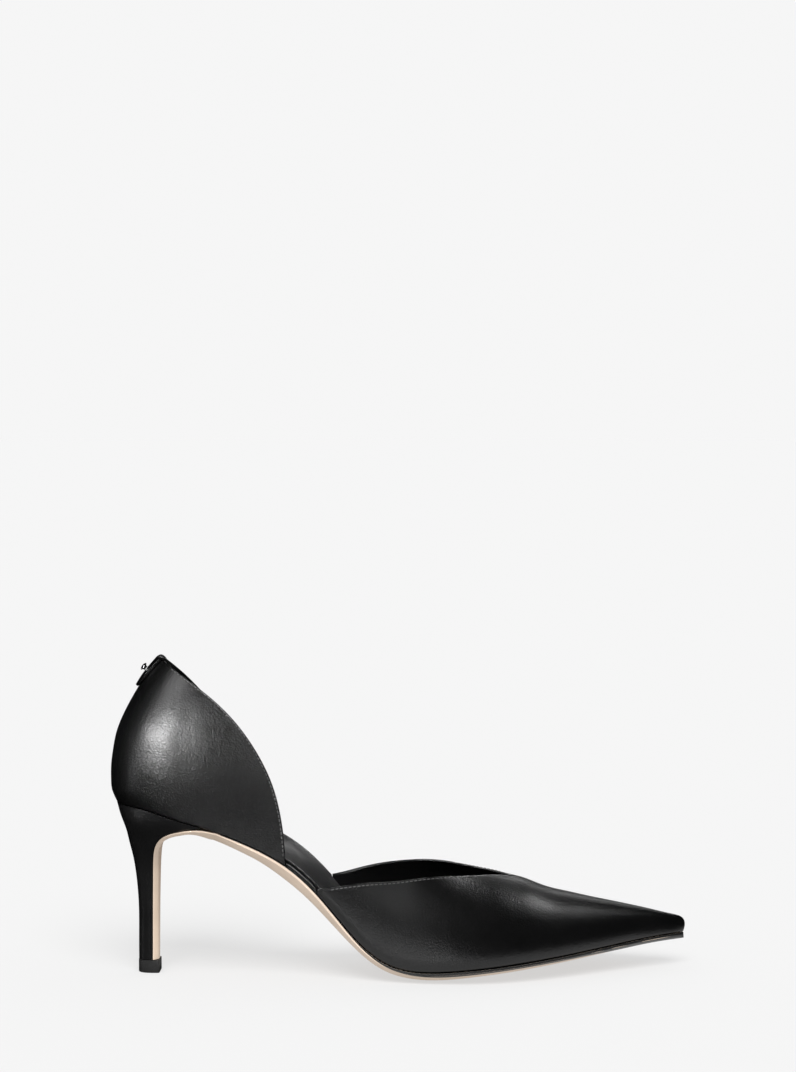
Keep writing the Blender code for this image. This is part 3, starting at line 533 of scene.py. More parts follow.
def build_quarter():
    """Leather and lining of the quarter."""
    outer = [quarter_skin(s, outer_depth) for s in SIDES]
    inner = [quarter_skin(s, inner_depth, tuck=False) for s in SIDES]
    lining = [
        [quarter_skin(s, lambda d, h=h: h + 0 * d, LINING_SETBACK, False) for s in SIDES]
        for h in LINING_FACES
    ]
    leather = sheet_pair("quarter_leather", outer, inner, CALF)
    return leather, sheet_pair("quarter_lining", *lining, LINING)


# Sole


# Points across the sole's top, and along its bevel
COLUMNS = np.unique(np.concatenate([np.linspace(-1, 1, 25), (-0.97, 0.97, 0.93, 0.985, -0.985)]))
BEVEL_STEPS = np.array((0, 0.08, 0.18, 0.3, 0.42, 0.56, 0.72, 0.86, 1))
# Shares of the sole's length at which its tongue begins, and over which its edge thins towards it
TONGUE_START = 0.17
TONGUE_FADE = 0.06
# Black on the sole's edge, edge ink on the edge itself and painted shade where it reaches past the edge's
# foot over the bevel towards the toe: place along the sole, and its reach, 1 at the edge's foot, 2 past
# the bevel
INK_AND_SHADE_REACH = column((
    (0.00, 0.02), (0.30, 0.02), (0.40, 0.30), (0.46, 0.80), (0.52, 1.12),
    (0.66, 1.20), (0.78, 1.25), (0.84, 1.45), (0.90, 1.95), (1.00, 2.00),
), 1)
INK_AND_SHADE_START = 0.18
INK_AND_SHADE_THICKNESS = 0.00007
# How far it also reaches in over the sole's top, where the upper covers it
INK_AND_SHADE_TOP = 0.0045
INK_AND_SHADE_ROWS = 9


def sole_ring(x, normal, widths, edge, bevel, heights, twist=0.0, spread=1.0):
    """Section of the sole: its top, one bevelled edge, the belly and the other edge."""
    nx, nz = normal
    belt = {v: min(0.8, BEVEL_WIDTH * spread / max(w, 1e-5)) for v, w in widths.items()}
    under = [1 - belt[MEDIAL] * s for s in BEVEL_STEPS]
    under += [(1 - belt[MEDIAL]) * s for s in (0.75, 0.5, 0.25, 0)]
    under += [(belt[LATERAL] - 1) * s for s in (0.25, 0.5, 0.75)]
    under += [belt[LATERAL] * s - 1 for s in reversed(BEVEL_STEPS)]
    v = np.concatenate([COLUMNS, under])
    y = v * np.where(v > 0, widths[MEDIAL], widths[LATERAL])
    turn = np.minimum(1.0, (1 - np.abs(v)) / np.where(v > 0, belt[MEDIAL], belt[LATERAL]))
    depth = edge + bevel * np.sin(turn * math.pi / 2) + SOLE_BELLY * (1 - v * v)
    depth[:len(COLUMNS)] = GAP / 2
    return points(x + twist * y - nx * depth, middle(x) + y, np.maximum(heights(y) - nz * depth, 0.0))


def heel_tip_front():
    return LIFT_LENGTH / 2 - LIFT_LEDGE - FLAP_EDGE - FLAP_DEPTH - SOLE_BELLY - GAP


def heel_side(row):
    """Half width of the heel at a row, 0 at the lift to 1 at the seat."""
    low = LIFT_WIDTH / 2 - LIFT_LEDGE
    return low + (SEAT_WIDTH / 2 - low) * SIDE_OUT(row)


def breast_path():
    """Points down the heel's front, each as X and Z."""
    bottom, top = LIFT_HEIGHT + GAP, HEEL_HEIGHT
    tip = heel_tip_front()
    rows = np.linspace(1, 0, 25)
    xs = tip + (BREAST_REACH - tip) * FRONT_OUT(rows)
    return list(zip(xs, bottom + (top - bottom) * FRONT_UP(rows)))


def build_outsole():
    """Sole with its bevelled edge, and its tongue down the heel's front."""
    join = along(TONGUE_START)
    blunt = X_TIP - TOE_ROUND / 60
    rings = []
    for x in join + (blunt - join) * np.sin(ramp(150)[::-1] * math.pi / 2):
        slope = float(bed_slope(x))
        length = math.hypot(1, slope)
        fade = float(smooth_step((x - join) / (TONGUE_FADE * SOLE_LENGTH)))
        rings.append(sole_ring(
            x, (-slope / length, 1 / length),
            {side: float(half_width(x, side)) for side in SIDES},
            FLAP_EDGE + (SOLE_EDGE - FLAP_EDGE) * fade, BEVEL_DEPTH * float(BEVEL(share_of(x))),
            lambda y, x=x: bed(x, middle(x) + y),
        ))
    rings += flap_rings(join)
    return loft("outsole_leather", rings, SOLE_TAN)


def ink_and_shade_skin(xs, side, lift):
    """One face of the black on a side of the sole, from over its top to the end of its reach: edge ink on
    the edge, painted shade past it over the bevel.
    """
    share = share_of(xs)
    width = half_width(xs, side)
    reach, bevel = INK_AND_SHADE_REACH(share), BEVEL_DEPTH * BEVEL(share)
    belt = np.minimum(BEVEL_WIDTH, 0.8 * width)
    ahead = np.gradient(points(xs, middle(xs) + side * width, edge_height(xs)), axis=0)
    ahead[-1] = (0, -side, 0)
    up = unit(points(-bed_slope(xs), 0.0, 1.0))
    out = unit(np.cross(ahead, up) * -side)
    y = middle(xs) + side * (width - np.minimum(INK_AND_SHADE_TOP, 0.5 * width))
    rows = [points(xs, y, bed(xs, y)) - up * (GAP / 2 - lift)]
    for row in ramp(INK_AND_SHADE_ROWS):
        turn = np.clip(reach * row - 1, 0, 1)
        v = 1 - belt * turn / np.maximum(width, 1e-6)
        y = middle(xs) + side * width * v
        depth = GAP / 2 + (SOLE_EDGE - GAP / 2) * np.minimum(reach * row, 1)
        depth += bevel * np.sin(turn * math.pi / 2) + SOLE_BELLY * (1 - v * v)
        depth += lift * np.minimum(turn * 4, 1)
        rows.append(points(xs, y, bed(xs, y)) + out * lift - up * depth[:, None])
    return rows


def build_edge_ink_and_shade():
    """Black colour on the sole's edge: its upper part from the waist on, all of it at the toe. It is edge
    ink on the edge and painted shade where it reaches past the edge over the bevel.
    """
    start = along(INK_AND_SHADE_START)
    xs = start + (X_TIP - start) * np.sin(ramp(280) * math.pi / 2)
    outer, inner = (
        np.stack(ink_and_shade_skin(xs, side, INK_AND_SHADE_THICKNESS) + ink_and_shade_skin(xs, side, -INK_AND_SHADE_THICKNESS)[::-1], 1)
        for side in SIDES
    )
    return loft("sole_edge_ink_and_painted_shade", list(np.concatenate([outer, inner[::-1][1:]])), EDGE_INK_AND_PAINTED_SHADE)


def flap_rings(join):
    """Sections of the tongue, from where it leaves the sole to the lift."""
    count = 70
    path = [(join, float(edge_height(join)))]
    path.append((BREAST_REACH, float(edge_height(BREAST_REACH)) - LIP_THICKNESS - GAP))
    path += breast_path()
    xs = spline(np.linspace(0, 1, len(path)), [p[0] for p in path])
    zs = spline(np.linspace(0, 1, len(path)), [p[1] for p in path])
    crown = BED_CROWN * float(CROWN(share_of(join)))
    arch = ARCH_RISE * float(ARCH(share_of(join)))
    start_bevel = BEVEL_DEPTH * float(BEVEL(share_of(join)))
    lip_at, row_one = 1 / (len(path) - 1), 2 / (len(path) - 1)
    step = 1e-3
    rings = []
    for i in range(1, count + 1):
        t = (i / count) ** 1.5
        x, z = float(xs(t)), float(zs(t))
        dx, dz = float(xs(t - step) - xs(t + step)), float(zs(t - step) - zs(t + step))
        length = math.hypot(dx, dz)
        normal = (-dz / length, dx / length)
        row = max(0.0, min(1.0, 1 - (t - row_one) / (1 - row_one)))
        fade = float(smooth_step(t / row_one))
        blend = float(smooth_step((t - lip_at / 2) / (2 * row_one)))
        widths = {
            side: (1 - blend) * float(half_width(x, side)) + blend * float(heel_side(row))
            for side in SIDES
        }

        def heights(y, z=z - normal[1] * GAP / 2, f=fade, w=widths):
            v = y / np.where(y > 0, w[MEDIAL], w[LATERAL])
            return z + (1 - f) * (arch * arch_share((v + 1) / 2) - crown * (1 - v * v))

        rings.append(sole_ring(
            x - normal[0] * GAP / 2, normal, widths, FLAP_EDGE,
            start_bevel + (FLAP_DEPTH - start_bevel) * fade, heights,
            HEEL_TWIST * (1 - row * row), 1 - FLAP_TAPER * fade,
        ))
    return rings


# Heel and lift


def heel_outline(row, place, side):
    """Points of a side of the heel at a row, place 0 at its back to 1 at its front."""
    low, top = LIFT_HEIGHT + GAP, HEEL_HEIGHT
    tip_back = -(LIFT_LENGTH / 2 - LIFT_LEDGE)
    back = tip_back + (X_BACK - tip_back) * BACK_OUT(row)
    tip = heel_tip_front()
    front = tip + (BREAST_REACH - tip) * FRONT_OUT(row)
    x = back + (front - back) * place
    z_back = low + (top - low) * BACK_UP(row)
    z_front = low + (top - low) * FRONT_UP(row)
    z = z_front + (z_back - z_front) * (1 - place)
    y = heel_side(row) * rounding(place, HEEL_ROUND, SEAT_POWER)
    return points(x + HEEL_TWIST * (1 - row ** 2) * side * y, middle(x) + side * y, z)


def build_heel():
    """Covered heel, its last ring on the sole's bed."""
    places = 1 - np.cos(math.pi / 2 * ramp(41))
    across = ramp(17)[-2:0:-1, None]
    rings = []
    for row in [*(1 - (1 - ramp(90)) ** 1.3), None]:
        if row is None:
            x = X_BACK + (BREAST_REACH - X_BACK) * places
            outer, inner = (rim(x, side, -GAP / 2) for side in SIDES)
        else:
            outer, inner = (heel_outline(row, places, side) for side in SIDES)
        ring = np.concatenate([outer[::-1], inner[1:]])
        front = ring[0] + (ring[-1] - ring[0]) * across
        if row is None:
            front[:, 2] = bed(front[:, 0], front[:, 1], -GAP / 2)
        rings.append(np.concatenate([ring, front]))
    return loft("heel_cover", rings, HEEL_CALF_PAINTED_SHEEN)


# Rounding of the lift's edges: height and inset in millimetres, counted up from its foot and its top
LIFT_FOOT = ((0.0, 0.35), (0.04, 0.2), (0.12, 0.07), (0.3, 0.0))
LIFT_TOP = ((-0.2, 0.0), (-0.06, 0.05), (0.0, 0.16))


def build_lift():
    """Block under the heel: straight front with round corners, round back."""
    front, side = LIFT_LENGTH / 2, LIFT_WIDTH / 2
    corner = [
        (front - LIFT_CORNER * (1 - math.cos(a)), side - LIFT_CORNER * (1 - math.sin(a)))
        for a in np.linspace(0, math.pi / 2, 6)
    ]
    outline = [(x, -y) for x, y in corner]
    length = LIFT_ROUND * LIFT_LENGTH
    for angle in np.linspace(-math.pi / 2, math.pi / 2, 33):
        reach = length * (1 - math.cos(angle))
        half = side * float(rounding(reach, length, SEAT_POWER))
        outline.append((reach - front, math.copysign(half, angle)))
    outline = np.array(outline + corner[::-1])
    rings = []
    for z, inset in LIFT_FOOT + tuple((LIFT_HEIGHT / MM + z, inset) for z, inset in LIFT_TOP):
        x, y = outline.T * (1 - inset * MM / side)
        rings.append(points(x + HEEL_TWIST * y, middle(x) + y, z * MM))
    return loft("lift_block", rings, RUBBER)


# Insole and sock


BOARD_ROUND = 0.0008
SOCK_ROUND = 0.0005


def in_cutout(x, side):
    return along(QUARTER_FOOT[side]) + GAP + SLIP / 2 < x < along(VAMP_FOOT[side]) - GAP + SLIP / 2


def bed_layer(name, low, high, inset, first, last, material, radius):
    """A layer on the bed with rounded edges, stepping in where vamp and quarter stand on the sole."""
    notches = sorted(
        along(share[side]) + sign * GAP
        for share, sign in ((QUARTER_FOOT, 1), (VAMP_FOOT, -1)) for side in SIDES
    )
    stations = list(first + (last - first) * (1 - np.cos(ramp(150) * math.pi)) / 2)
    for x in notches:
        stations = [s for s in stations if abs(s - x) > 3 * SLIP] + [x, x + SLIP]
    turn, across = np.linspace(0, math.pi / 2, 6), 23
    rings = []
    for x in sorted(stations):
        ends = {side: float(half_width(x, side, inset(x, side))) for side in SIDES}
        r = min(radius, min(ends.values()) / 2)
        left, right = -ends[LATERAL] + r, ends[MEDIAL] - r
        y = np.concatenate([
            left - r * np.sin(turn[::-1]), np.linspace(left, right, across + 2)[1:-1],
            right + r * np.sin(turn),
        ])
        drop = r * (1 - np.concatenate([np.cos(turn[::-1]), np.ones(across), np.cos(turn)]))
        y = middle(x) + y
        ring = [points(x, y, bed(x, y, high - drop)), points(x, y, bed(x, y, low + 0.2 * drop))[::-1]]
        rings.append(np.concatenate(ring))
    return loft(name, rings, material)


def build_insole():
    """Covered board, bare to the sole's edge in the cut-outs."""
    inside = WALL + GAP + SLIP

    def inset(x, side):
        return 0.0 if in_cutout(x, side) else inside

    first = X_BACK + inside + GAP / 2
    last = X_TIP - TIP_SHARPNESS * inside - TOE_ROUND / 20
    return bed_layer(
        "insole_cover", GAP / 2, GAP / 2 + BOARD_THICKNESS, inset, first, last, CALF, BOARD_ROUND
    )


def build_sock():
    """Sock lining on the board."""
    inside = WALL + GAP + 2 * SLIP
    low = GAP / 2 + BOARD_THICKNESS + GAP

    def inset(x, side):
        return SOCK_MARGIN if in_cutout(x, side) else inside

    first = X_BACK + inside + GAP
    last = X_TIP - TIP_SHARPNESS * SOCK_MARGIN - TOE_ROUND / 10
    return bed_layer(
        "sock_lining", low, low + SOCK_THICKNESS, inset, first, last, LINING, SOCK_ROUND
    )


# Tab and stud


TAB_START = 0.02
TAB_FACE = 0.010
TAB_EDGE_RADIUS = 0.00025
TAB_BORDER = np.array((1, 0.985, 0.955, 0.91, 0.85))
TAB_ACROSS = np.concatenate([-TAB_BORDER, np.linspace(-0.78, 0.78, 23), TAB_BORDER[::-1]])
STUD_DOME = 0.45
# Sides and foot of the stud: shares of its radius and its height
STUD_FOOT = ((0.98, 0.53), (0.92, 0.48), (0.72, 0.42), (0.60, 0.30), (0.60, 0.00))


def tab_half_width(share):
    return TAB_WIDTH / 2 * rounding(share, TAB_ROUND, 2.0) * (1 - TAB_TAPER * (1 - share))


def back_face(row, y):
    """Point and normal of the quarter's outer face at a row, y away from the back seam."""
    y = np.asarray(y, float)
    row = np.broadcast_to(np.asarray(row, float), y.shape)
    at, normal = [], []
    for side in SIDES:
        back, front = quarter_point(side, row, 0.0)[..., 0], quarter_point(side, row, 1.0)[..., 0]
        full = BODY[side](share_of(back)) * FULL(row)
        rest = np.clip(1 - (np.abs(y) / full) ** SEAT_POWER, 0, 1) ** (1 / SEAT_POWER)
        forward = SEAT_ROUND * (1 - PEAK_TAPER * row * row) * (1 - rest)
        place = np.arccos(1 - np.clip(forward / (front - back), 0, 1)) * 2 / math.pi
        at.append(quarter_point(side, row, place))
        normal.append(quarter_normal(side, row, place))
    pick = (y >= 0)[..., None]
    return np.where(pick, at[1], at[0]), np.where(pick, normal[1], normal[0])


def fold_point(y, layer, angle, drop=0.0):
    """Point of the tab where it folds over the topline, at an angle from outside to inside."""
    at, normal = back_face(1.0, y)
    up = unit(np.array((0.0, 0.0, 1.0)) - normal * normal[..., 2:3])
    centre = at - normal * EDGE_WALL / 2
    layer = np.broadcast_to(layer, np.shape(y))[:, None]
    radius = EDGE_WALL / 2 + layer + (WALL - EDGE_WALL) * (angle / math.pi) ** 2
    return centre + normal * radius * math.cos(angle) + up * (layer * math.sin(angle) - drop)


def tab_skin(layer, sign):
    """One face of the tab at a height over the quarter, sign -1 outside and 1 inside."""
    v, rows = TAB_ACROSS, []
    for share in stretches(TAB_START, (7, 0.12), (39, 1.0)):
        half = float(tab_half_width(share))
        edge = np.minimum((1 - np.abs(v)) * half, (share - TAB_START) * TAB_FACE)
        inset = sign * round_off(edge, TAB_EDGE_RADIUS)
        groove = stitch_groove(edge, TAB_GROOVE) if sign < 0 else 0.0
        at, normal = back_face(TAB_FOOT + (1 - TAB_FOOT) * share, v * half)
        rows.append(at + normal * (layer + inset - groove)[:, None])
    half = TAB_WIDTH / 2
    inset = sign * round_off((1 - np.abs(v)) * half, TAB_EDGE_RADIUS)
    for turn in ramp(15)[1:]:
        rows.append(fold_point(v * half, layer + inset, math.pi * turn))
    for drop in ramp(10)[1:]:
        rows.append(fold_point(v * half, layer, math.pi, TAB_FOLD * drop))
    return np.array(rows)


def build_tab():
    """Tab on the back seam, folded over the topline."""
    outer, inner = tab_skin(GAP + TAB_THICKNESS, -1), tab_skin(GAP, 1)
    rows, columns = outer.shape[:2]
    size = rows * columns
    faces = grid_faces(rows, columns) + grid_faces(rows, columns, size)
    borders = [(r * columns + c, 1) for c in range(columns - 1) for r in (0, rows - 1)]
    borders += [(r * columns + c, columns) for r in range(rows - 1) for c in (0, columns - 1)]
    faces += [(i, i + step, i + step + size, i + size) for i, step in borders]
    verts = np.concatenate([outer.reshape(-1, 3), inner.reshape(-1, 3)])
    return mesh_object("tab_leather", verts, faces, CALF)


def build_stud():
    """Plain domed ornament on the tab."""
    at, normal = (a[0] for a in back_face(STUD_ROW, np.zeros(1)))
    profile = [
        (STUD_RADIUS * math.sin(a), STUD_HEIGHT - STUD_DOME * STUD_RADIUS * (1 - math.cos(a)))
        for a in np.linspace(0.02, math.pi / 2, 16)
    ]
    profile += [(STUD_RADIUS * r, STUD_HEIGHT * h) for r, h in STUD_FOOT]
    turn = np.linspace(0, 2 * math.pi, 49)[:-1]
    z = Vector(normal)
    x = Vector((0, 1, 0)).cross(z).normalized()
    y = z.cross(x)
    seat = Vector(at) + z * (2 * GAP + TAB_THICKNESS)
    rings = [
        np.array([seat + x * (r * math.cos(t)) + y * (r * math.sin(t)) + z * h for t in turn])
        for r, h in profile
    ]
    return loft("tab_ornament", rings, STEEL)


# Stitches


STITCH_PITCH = 0.0019
STITCH_LENGTH = 0.00135
STITCH_WIDTH = 0.00022
STITCH_DIP = 0.0001
# Cross sections along a stitch, and the share of its width at each
STITCH_SPANS = (-0.5, -0.42, -0.25, 0, 0.25, 0.42, 0.5)
STITCH_GIRTH = (0.15, 0.7, 1, 1, 1, 0.7, 0.15)
# Where the rows of stitches begin and end, as shares of each topline
VAMP_SEAM = (0.06, 0.985)
QUARTER_SEAM = (0.03, 0.97)


def read_at(s, rows, place):
    """Values of the rows, given at the places s, at another place between them."""
    return np.array([np.interp(place, s, rows[:, i]) for i in range(3)])


def stitch_row(name, paths, material):
    """Row of single stitches along paths, each given as points and outward normals."""
    verts, faces = [], []
    ring = np.linspace(0, 2 * math.pi, 9)[:-1]
    for path, normals in paths:
        steps = np.linalg.norm(np.diff(path, axis=0), axis=1)
        s = np.concatenate([[0], np.cumsum(steps)])
        for k in range(int((s[-1] - STITCH_PITCH) / STITCH_PITCH)):
            start = len(verts)
            for span, girth in zip(STITCH_SPANS, STITCH_GIRTH):
                here = STITCH_PITCH * (k + 0.75) + STITCH_LENGTH * span
                at = read_at(s, path, here)
                n = unit(read_at(s, normals, here))
                side = unit(np.cross(unit(read_at(s, path, here + 0.1 * MM) - at), n))
                dip = -STITCH_DIP * (2 * abs(span)) ** 4
                across = STITCH_WIDTH * girth * np.cos(ring)[:, None] * side
                verts += list(at + across + n * (0.8 * STITCH_WIDTH * girth * np.sin(ring)[:, None] + dip))
            faces += grid_faces(len(STITCH_SPANS), len(ring), start, wrap=True)
            faces.append(tuple(range(start, start + len(ring))))
            faces.append(tuple(range(len(verts) - len(ring), len(verts))))
    return mesh_object(name, verts, faces, material, weld=0)


def vamp_seam(side):
    """Points and normals of the line that the vamp's stitches run on."""
    ways = np.linspace(*VAMP_SEAM, 160)
    foot = along(VAMP_FOOT[side])
    x = foot + (X_THROAT - foot) * ways
    top = TURN[side](ways) * math.pi / 2
    samples = vamp_point(side, x[:, None], top[:, None] * VAMP_SAMPLES[None, :], 0.0)
    angle = top * along_curve(samples, np.full((len(x), 1), STITCH_LINE))[:, 0]
    up = vamp_point(side, x, angle + 0.002, 0.0) - vamp_point(side, x, angle - 0.002, 0.0)
    front = vamp_point(side, x + 1e-4, angle, 0.0) - vamp_point(side, x - 1e-4, angle, 0.0)
    return vamp_point(side, x, angle, 0.0), unit(np.cross(up, front) * side)


def quarter_seam(side):
    """Points and normals of the line that the quarter's stitches run on."""
    rows = np.linspace(*QUARTER_SEAM, 200)
    samples = quarter_point(side, rows[:, None], QUARTER_SAMPLES[None, :])
    place = along_curve(samples, np.full((len(rows), 1), STITCH_LINE))[:, 0]
    return quarter_point(side, rows, place), quarter_normal(side, rows, place)


# Materials


def tree_of(name):
    material = bpy.data.materials.new(name)
    material.use_nodes = True
    return material, material.node_tree.nodes["Principled BSDF"]


def node(tree, kind, **values):
    """New node with values for its sockets or, where it has no such socket, its settings."""
    made = tree.nodes.new(kind)
    for key, value in values.items():
        if key in made.inputs:
            made.inputs[key].default_value = value
        else:
            setattr(made, key, value)
    return made


def ramp_node(tree, source, *stops):
    """Colour ramp that reads the source, with two stops, each a place and a colour."""
    made = tree.nodes.new("ShaderNodeValToRGB")
    for element, stop in zip(made.color_ramp.elements, stops):
        element.position, element.color = stop
    tree.links.new(source, made.inputs[0])
    return made


def grey(v):
    return (v, v, v, 1)


def leather(name, dark, light, rough, grain, bump, cell):
    """Smooth leather: fine grain and pores, soft unevenness in colour and gloss."""
    material, shader = tree_of(name)
    tree = material.node_tree
    link = tree.links.new
    where = node(tree, "ShaderNodeTexCoord").outputs["Object"]
    cells = node(tree, "ShaderNodeTexVoronoi", feature="F1", Scale=cell, Randomness=1.0)
    fine = node(tree, "ShaderNodeTexNoise", Scale=cell * 1.9, Detail=2.0, Roughness=0.6)
    broad = node(tree, "ShaderNodeTexNoise", Scale=55.0, Detail=3.0, Roughness=0.5)
    soft = node(tree, "ShaderNodeTexNoise", Scale=130.0, Detail=2.0, Roughness=0.5)
    for texture in (cells, fine, broad, soft):
        link(where, texture.inputs["Vector"])
    mix = node(tree, "ShaderNodeMix", data_type="FLOAT")
    mix.inputs[0].default_value = 0.45
    link(cells.outputs["Distance"], mix.inputs[2])
    link(fine.outputs["Fac"], mix.inputs[3])
    low = node(tree, "ShaderNodeBump", Strength=0.25, Distance=0.0008)
    link(soft.outputs["Fac"], low.inputs["Height"])
    high = node(tree, "ShaderNodeBump", Strength=grain, Distance=bump)
    link(mix.outputs[0], high.inputs["Height"])
    link(low.outputs["Normal"], high.inputs["Normal"])
    link(high.outputs["Normal"], shader.inputs["Normal"])
    colour = ramp_node(tree, broad.outputs["Fac"], (0.3, (*dark, 1)), (0.7, (*light, 1)))
    link(colour.outputs["Color"], shader.inputs["Base Color"])
    gloss = ramp_node(tree, mix.outputs[0], (0.15, grey(rough[0])), (0.75, grey(rough[1])))
    link(gloss.outputs["Color"], shader.inputs["Roughness"])
    return material


def metal(name, colour, rough):
    material, shader = tree_of(name)
    shader.inputs["Metallic"].default_value = 1.0
    shader.inputs["Base Color"].default_value = (*colour, 1)
    shader.inputs["Roughness"].default_value = rough
    return material


# Name, darker and lighter colour, roughness range, strength and depth of the grain, cells per metre
CALF = leather(
    "black_calf", (0.0012, 0.0012, 0.0013), (0.0022, 0.0022, 0.0023), (0.30, 0.38), 0.9, 0.00012, 1200
)
# The heel's black calf, lighter than the upper's to stand in for the heel's sheen: painted sheen
HEEL_CALF_PAINTED_SHEEN = leather(
    "heel_calf_painted_sheen", (0.0050, 0.0050, 0.0052), (0.0070, 0.0070, 0.0072), (0.28, 0.36),
    0.8, 0.00009, 1200,
)
LINING = leather(
    "black_lining", (0.0024, 0.0024, 0.0026), (0.0040, 0.0040, 0.0042), (0.28, 0.36),
    0.3, 0.00008, 2200,
)
SOLE_TAN = leather(
    "tan_sole", (0.52, 0.415, 0.325), (0.60, 0.485, 0.385), (0.42, 0.52), 0.15, 0.00005, 2600
)
RUBBER = leather(
    "lift_rubber", (0.010, 0.010, 0.010), (0.018, 0.018, 0.018), (0.48, 0.60), 0.3, 0.00006, 3200
)
# Black of the sole's edge: edge ink on the edge itself, painted shade where it runs past the edge over the
# bevel
EDGE_INK_AND_PAINTED_SHADE = leather(
    "edge_ink_and_painted_shade", (0.0025, 0.0025, 0.0025), (0.0040, 0.0040, 0.0040), (0.30, 0.38),
    0.1, 0.00004, 2600,
)
THREAD = leather(
    "black_thread", (0.06, 0.06, 0.06), (0.10, 0.10, 0.10), (0.40, 0.55), 0.4, 0.00005, 6000
)
STEEL = metal("polished_metal", (0.75, 0.75, 0.77), 0.16)


# Pieces, each with the CAD node it replaces


def keep(piece, slot, *nodes):
    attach(piece, "root")
    if nodes:
        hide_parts(*nodes)


vamp, vamp_lining = build_vamp()
keep(vamp, "black_calf", "vamp")
keep(vamp_lining, "black_lining")
quarter, quarter_lining = build_quarter()
keep(quarter, "black_calf", "quarter")
keep(quarter_lining, "black_lining")
keep(build_outsole(), "tan_sole", "outsole")
keep(build_edge_ink_and_shade(), "black_calf")
keep(build_heel(), "black_calf", "heel")
keep(build_lift(), "lift_rubber", "top_lift")
keep(build_insole(), "black_calf", "insole_board")
keep(build_sock(), "black_lining", "sock")
keep(build_tab(), "black_calf", "back_tab")
keep(build_stud(), "polished_metal", "tab_stud")
keep(stitch_row("vamp_stitches", [vamp_seam(s) for s in SIDES], THREAD), "black_calf")
keep(stitch_row("quarter_stitches", [quarter_seam(s) for s in SIDES], THREAD), "black_calf")


# Floor, light and camera


BACKDROP = 0.92
SKY_LIGHT = 1.0
SKY_TILT = math.radians(38)
SKY_SPREAD = math.radians(40)
FLOOR_ALBEDO = 0.18
FLOOR_GLOW = BACKDROP - FLOOR_ALBEDO * (BACKDROP + SKY_LIGHT)
NEAR_FLOOR = 0.13
NEAR_CENTRE = 0.145
FAR_FLOOR = 5.0
FLOOR_SIDES = 96
CAMERA_PLACE = (0.01853, -1.48523, 0.30371)
CAMERA_AZIMUTH = math.radians(-3.5)
CAMERA_PITCH = math.radians(4.321)
CAMERA_LENS = 114.49


def floor_ring(radius):
    turn = np.linspace(0, 2 * math.pi, FLOOR_SIDES + 1)[:-1]
    return [(NEAR_CENTRE + radius * math.cos(a), radius * math.sin(a), 0.0) for a in turn]


def build_floor():
    """Pale floor in two pieces: a disc around the shoe, and the rest, which the gloss doesn't see."""
    material, shader = tree_of("floor")
    shader.inputs["Base Color"].default_value = grey(FLOOR_ALBEDO)
    shader.inputs["Roughness"].default_value = 0.9
    shader.inputs["Specular IOR Level"].default_value = 0.0
    shader.inputs["Emission Color"].default_value = grey(1.0)
    shader.inputs["Emission Strength"].default_value = FLOOR_GLOW
    near, far = floor_ring(NEAR_FLOOR), floor_ring(FAR_FLOOR)
    disc = mesh_object("floor_near", near, [tuple(range(FLOOR_SIDES))], material, weld=0)
    ground = mesh_object("floor_far", near + far, grid_faces(2, FLOOR_SIDES, wrap=True), material, weld=0)
    ground.visible_glossy = False


def softbox(name, azimuth, elevation, distance, size, radiance, target, spread=180):
    """Light panel that the gloss sees, in a direction from the target: azimuth 0 is the camera's
    side, 90 the toe's side."""
    a, e = math.radians(azimuth), math.radians(elevation)
    way = Vector((math.sin(a) * math.cos(e), -math.cos(a) * math.cos(e), math.sin(e)))
    data = bpy.data.lights.new(name, "AREA")
    data.shape = "RECTANGLE"
    data.size, data.size_y = size
    data.spread = math.radians(spread)
    half = math.radians(spread) / 2
    narrow = 1 if spread == 180 else 1 - half / math.tan(half)
    data.energy = radiance * math.pi * size[0] * size[1] * narrow
    panel = bpy.data.objects.new(name, data)
    panel.location = Vector(target) + way * distance
    panel.rotation_euler = (-way).to_track_quat("-Z", "Y").to_euler()
    panel.visible_diffuse = panel.visible_camera = False
    bpy.context.scene.collection.objects.link(panel)


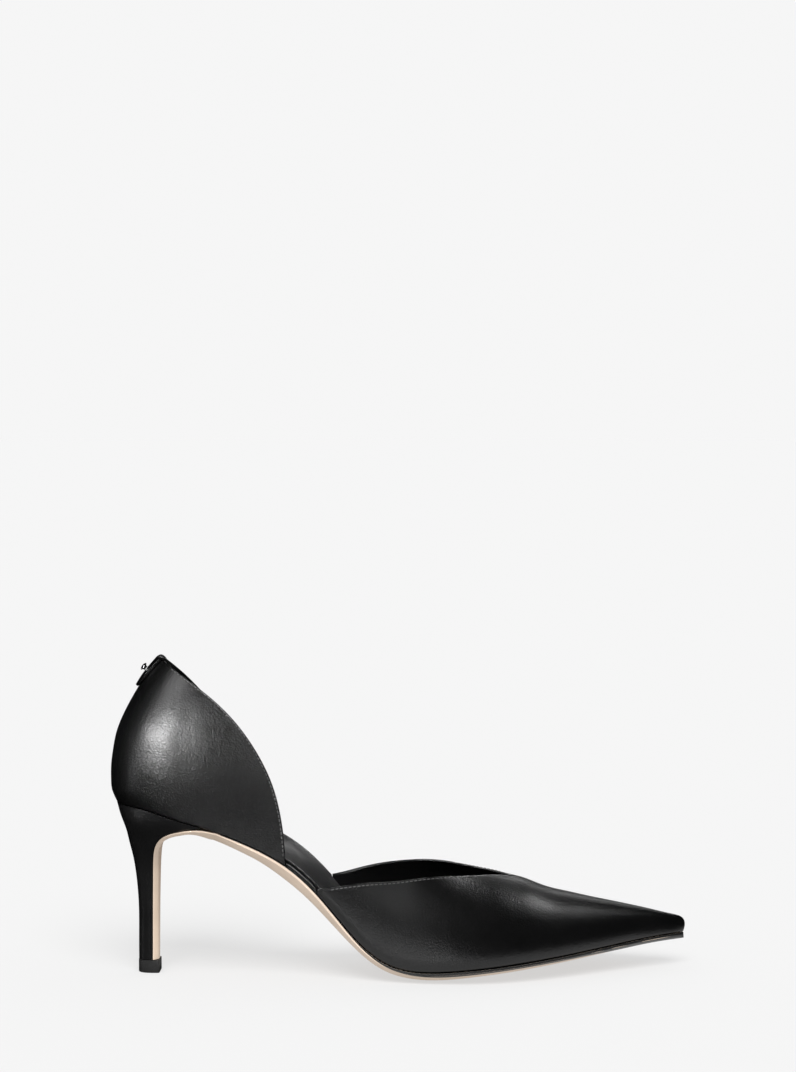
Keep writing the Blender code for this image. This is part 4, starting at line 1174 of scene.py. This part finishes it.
def build_sky():
    """Even light from above for the floor, which the gloss doesn't see."""
    data = bpy.data.lights.new("sky", "SUN")
    data.energy = SKY_LIGHT * math.pi / math.cos(SKY_TILT)
    data.angle = SKY_SPREAD
    sky = bpy.data.objects.new("sky", data)
    sky.rotation_euler = (SKY_TILT, 0, 0)
    sky.visible_glossy = False
    bpy.context.scene.collection.objects.link(sky)
    world = bpy.data.worlds.new("world")
    world.use_nodes = True
    background = world.node_tree.nodes["Background"]
    background.inputs["Color"].default_value = grey(1.0)
    background.inputs["Strength"].default_value = BACKDROP
    bpy.context.scene.world = world
    world.cycles_visibility.glossy = False


def build_camera():
    across = math.cos(CAMERA_PITCH)
    ahead = Vector((
        -math.sin(CAMERA_AZIMUTH) * across, math.cos(CAMERA_AZIMUTH) * across, -math.sin(CAMERA_PITCH)
    ))
    data = bpy.data.cameras.new("camera")
    data.lens = CAMERA_LENS
    data.sensor_width = 36.0
    data.clip_start, data.clip_end = 0.05, 50.0
    camera = bpy.data.objects.new("camera", data)
    camera.location = CAMERA_PLACE
    camera.rotation_euler = ahead.to_track_quat("-Z", "Y").to_euler()
    bpy.context.scene.collection.objects.link(camera)
    bpy.context.scene.camera = camera


build_floor()
build_sky()
# Name, azimuth, elevation, distance, size, radiance, target and, where it is narrowed, the spread
COUNTER_SIDE = (0.0, -0.03, 0.108)
softbox("key", -25, 13, 0.25, (0.20, 0.035), 170, COUNTER_SIDE, 26)
softbox("key_left", -50, 14, 0.25, (0.12, 0.035), 90, COUNTER_SIDE, 26)
softbox("upper_left", -38, 46, 0.8, (0.55, 0.35), 5, (0.0, -0.02, 0.12))
softbox("flank", 112, 42, 0.4, (0.12, 0.12), 65, (0.085, 0.0, 0.07), 24)
softbox("rim", 165, 22, 1.2, (0.5, 0.12), 3, (0.10, 0.0, 0.05))
softbox("far_edge", 180, 35, 0.30, (0.12, 0.03), 60, (0.13, 0.035, 0.045), 20)
softbox("low_front", 0, -28, 0.14, (0.12, 0.012), 6, (0.06, -0.02, 0.072))
softbox("heel_left", -75, 0, 0.5, (0.03, 0.10), 14, (0.0, 0.0, 0.045))
bpy.context.scene.view_settings.view_transform = "Standard"
build_camera()
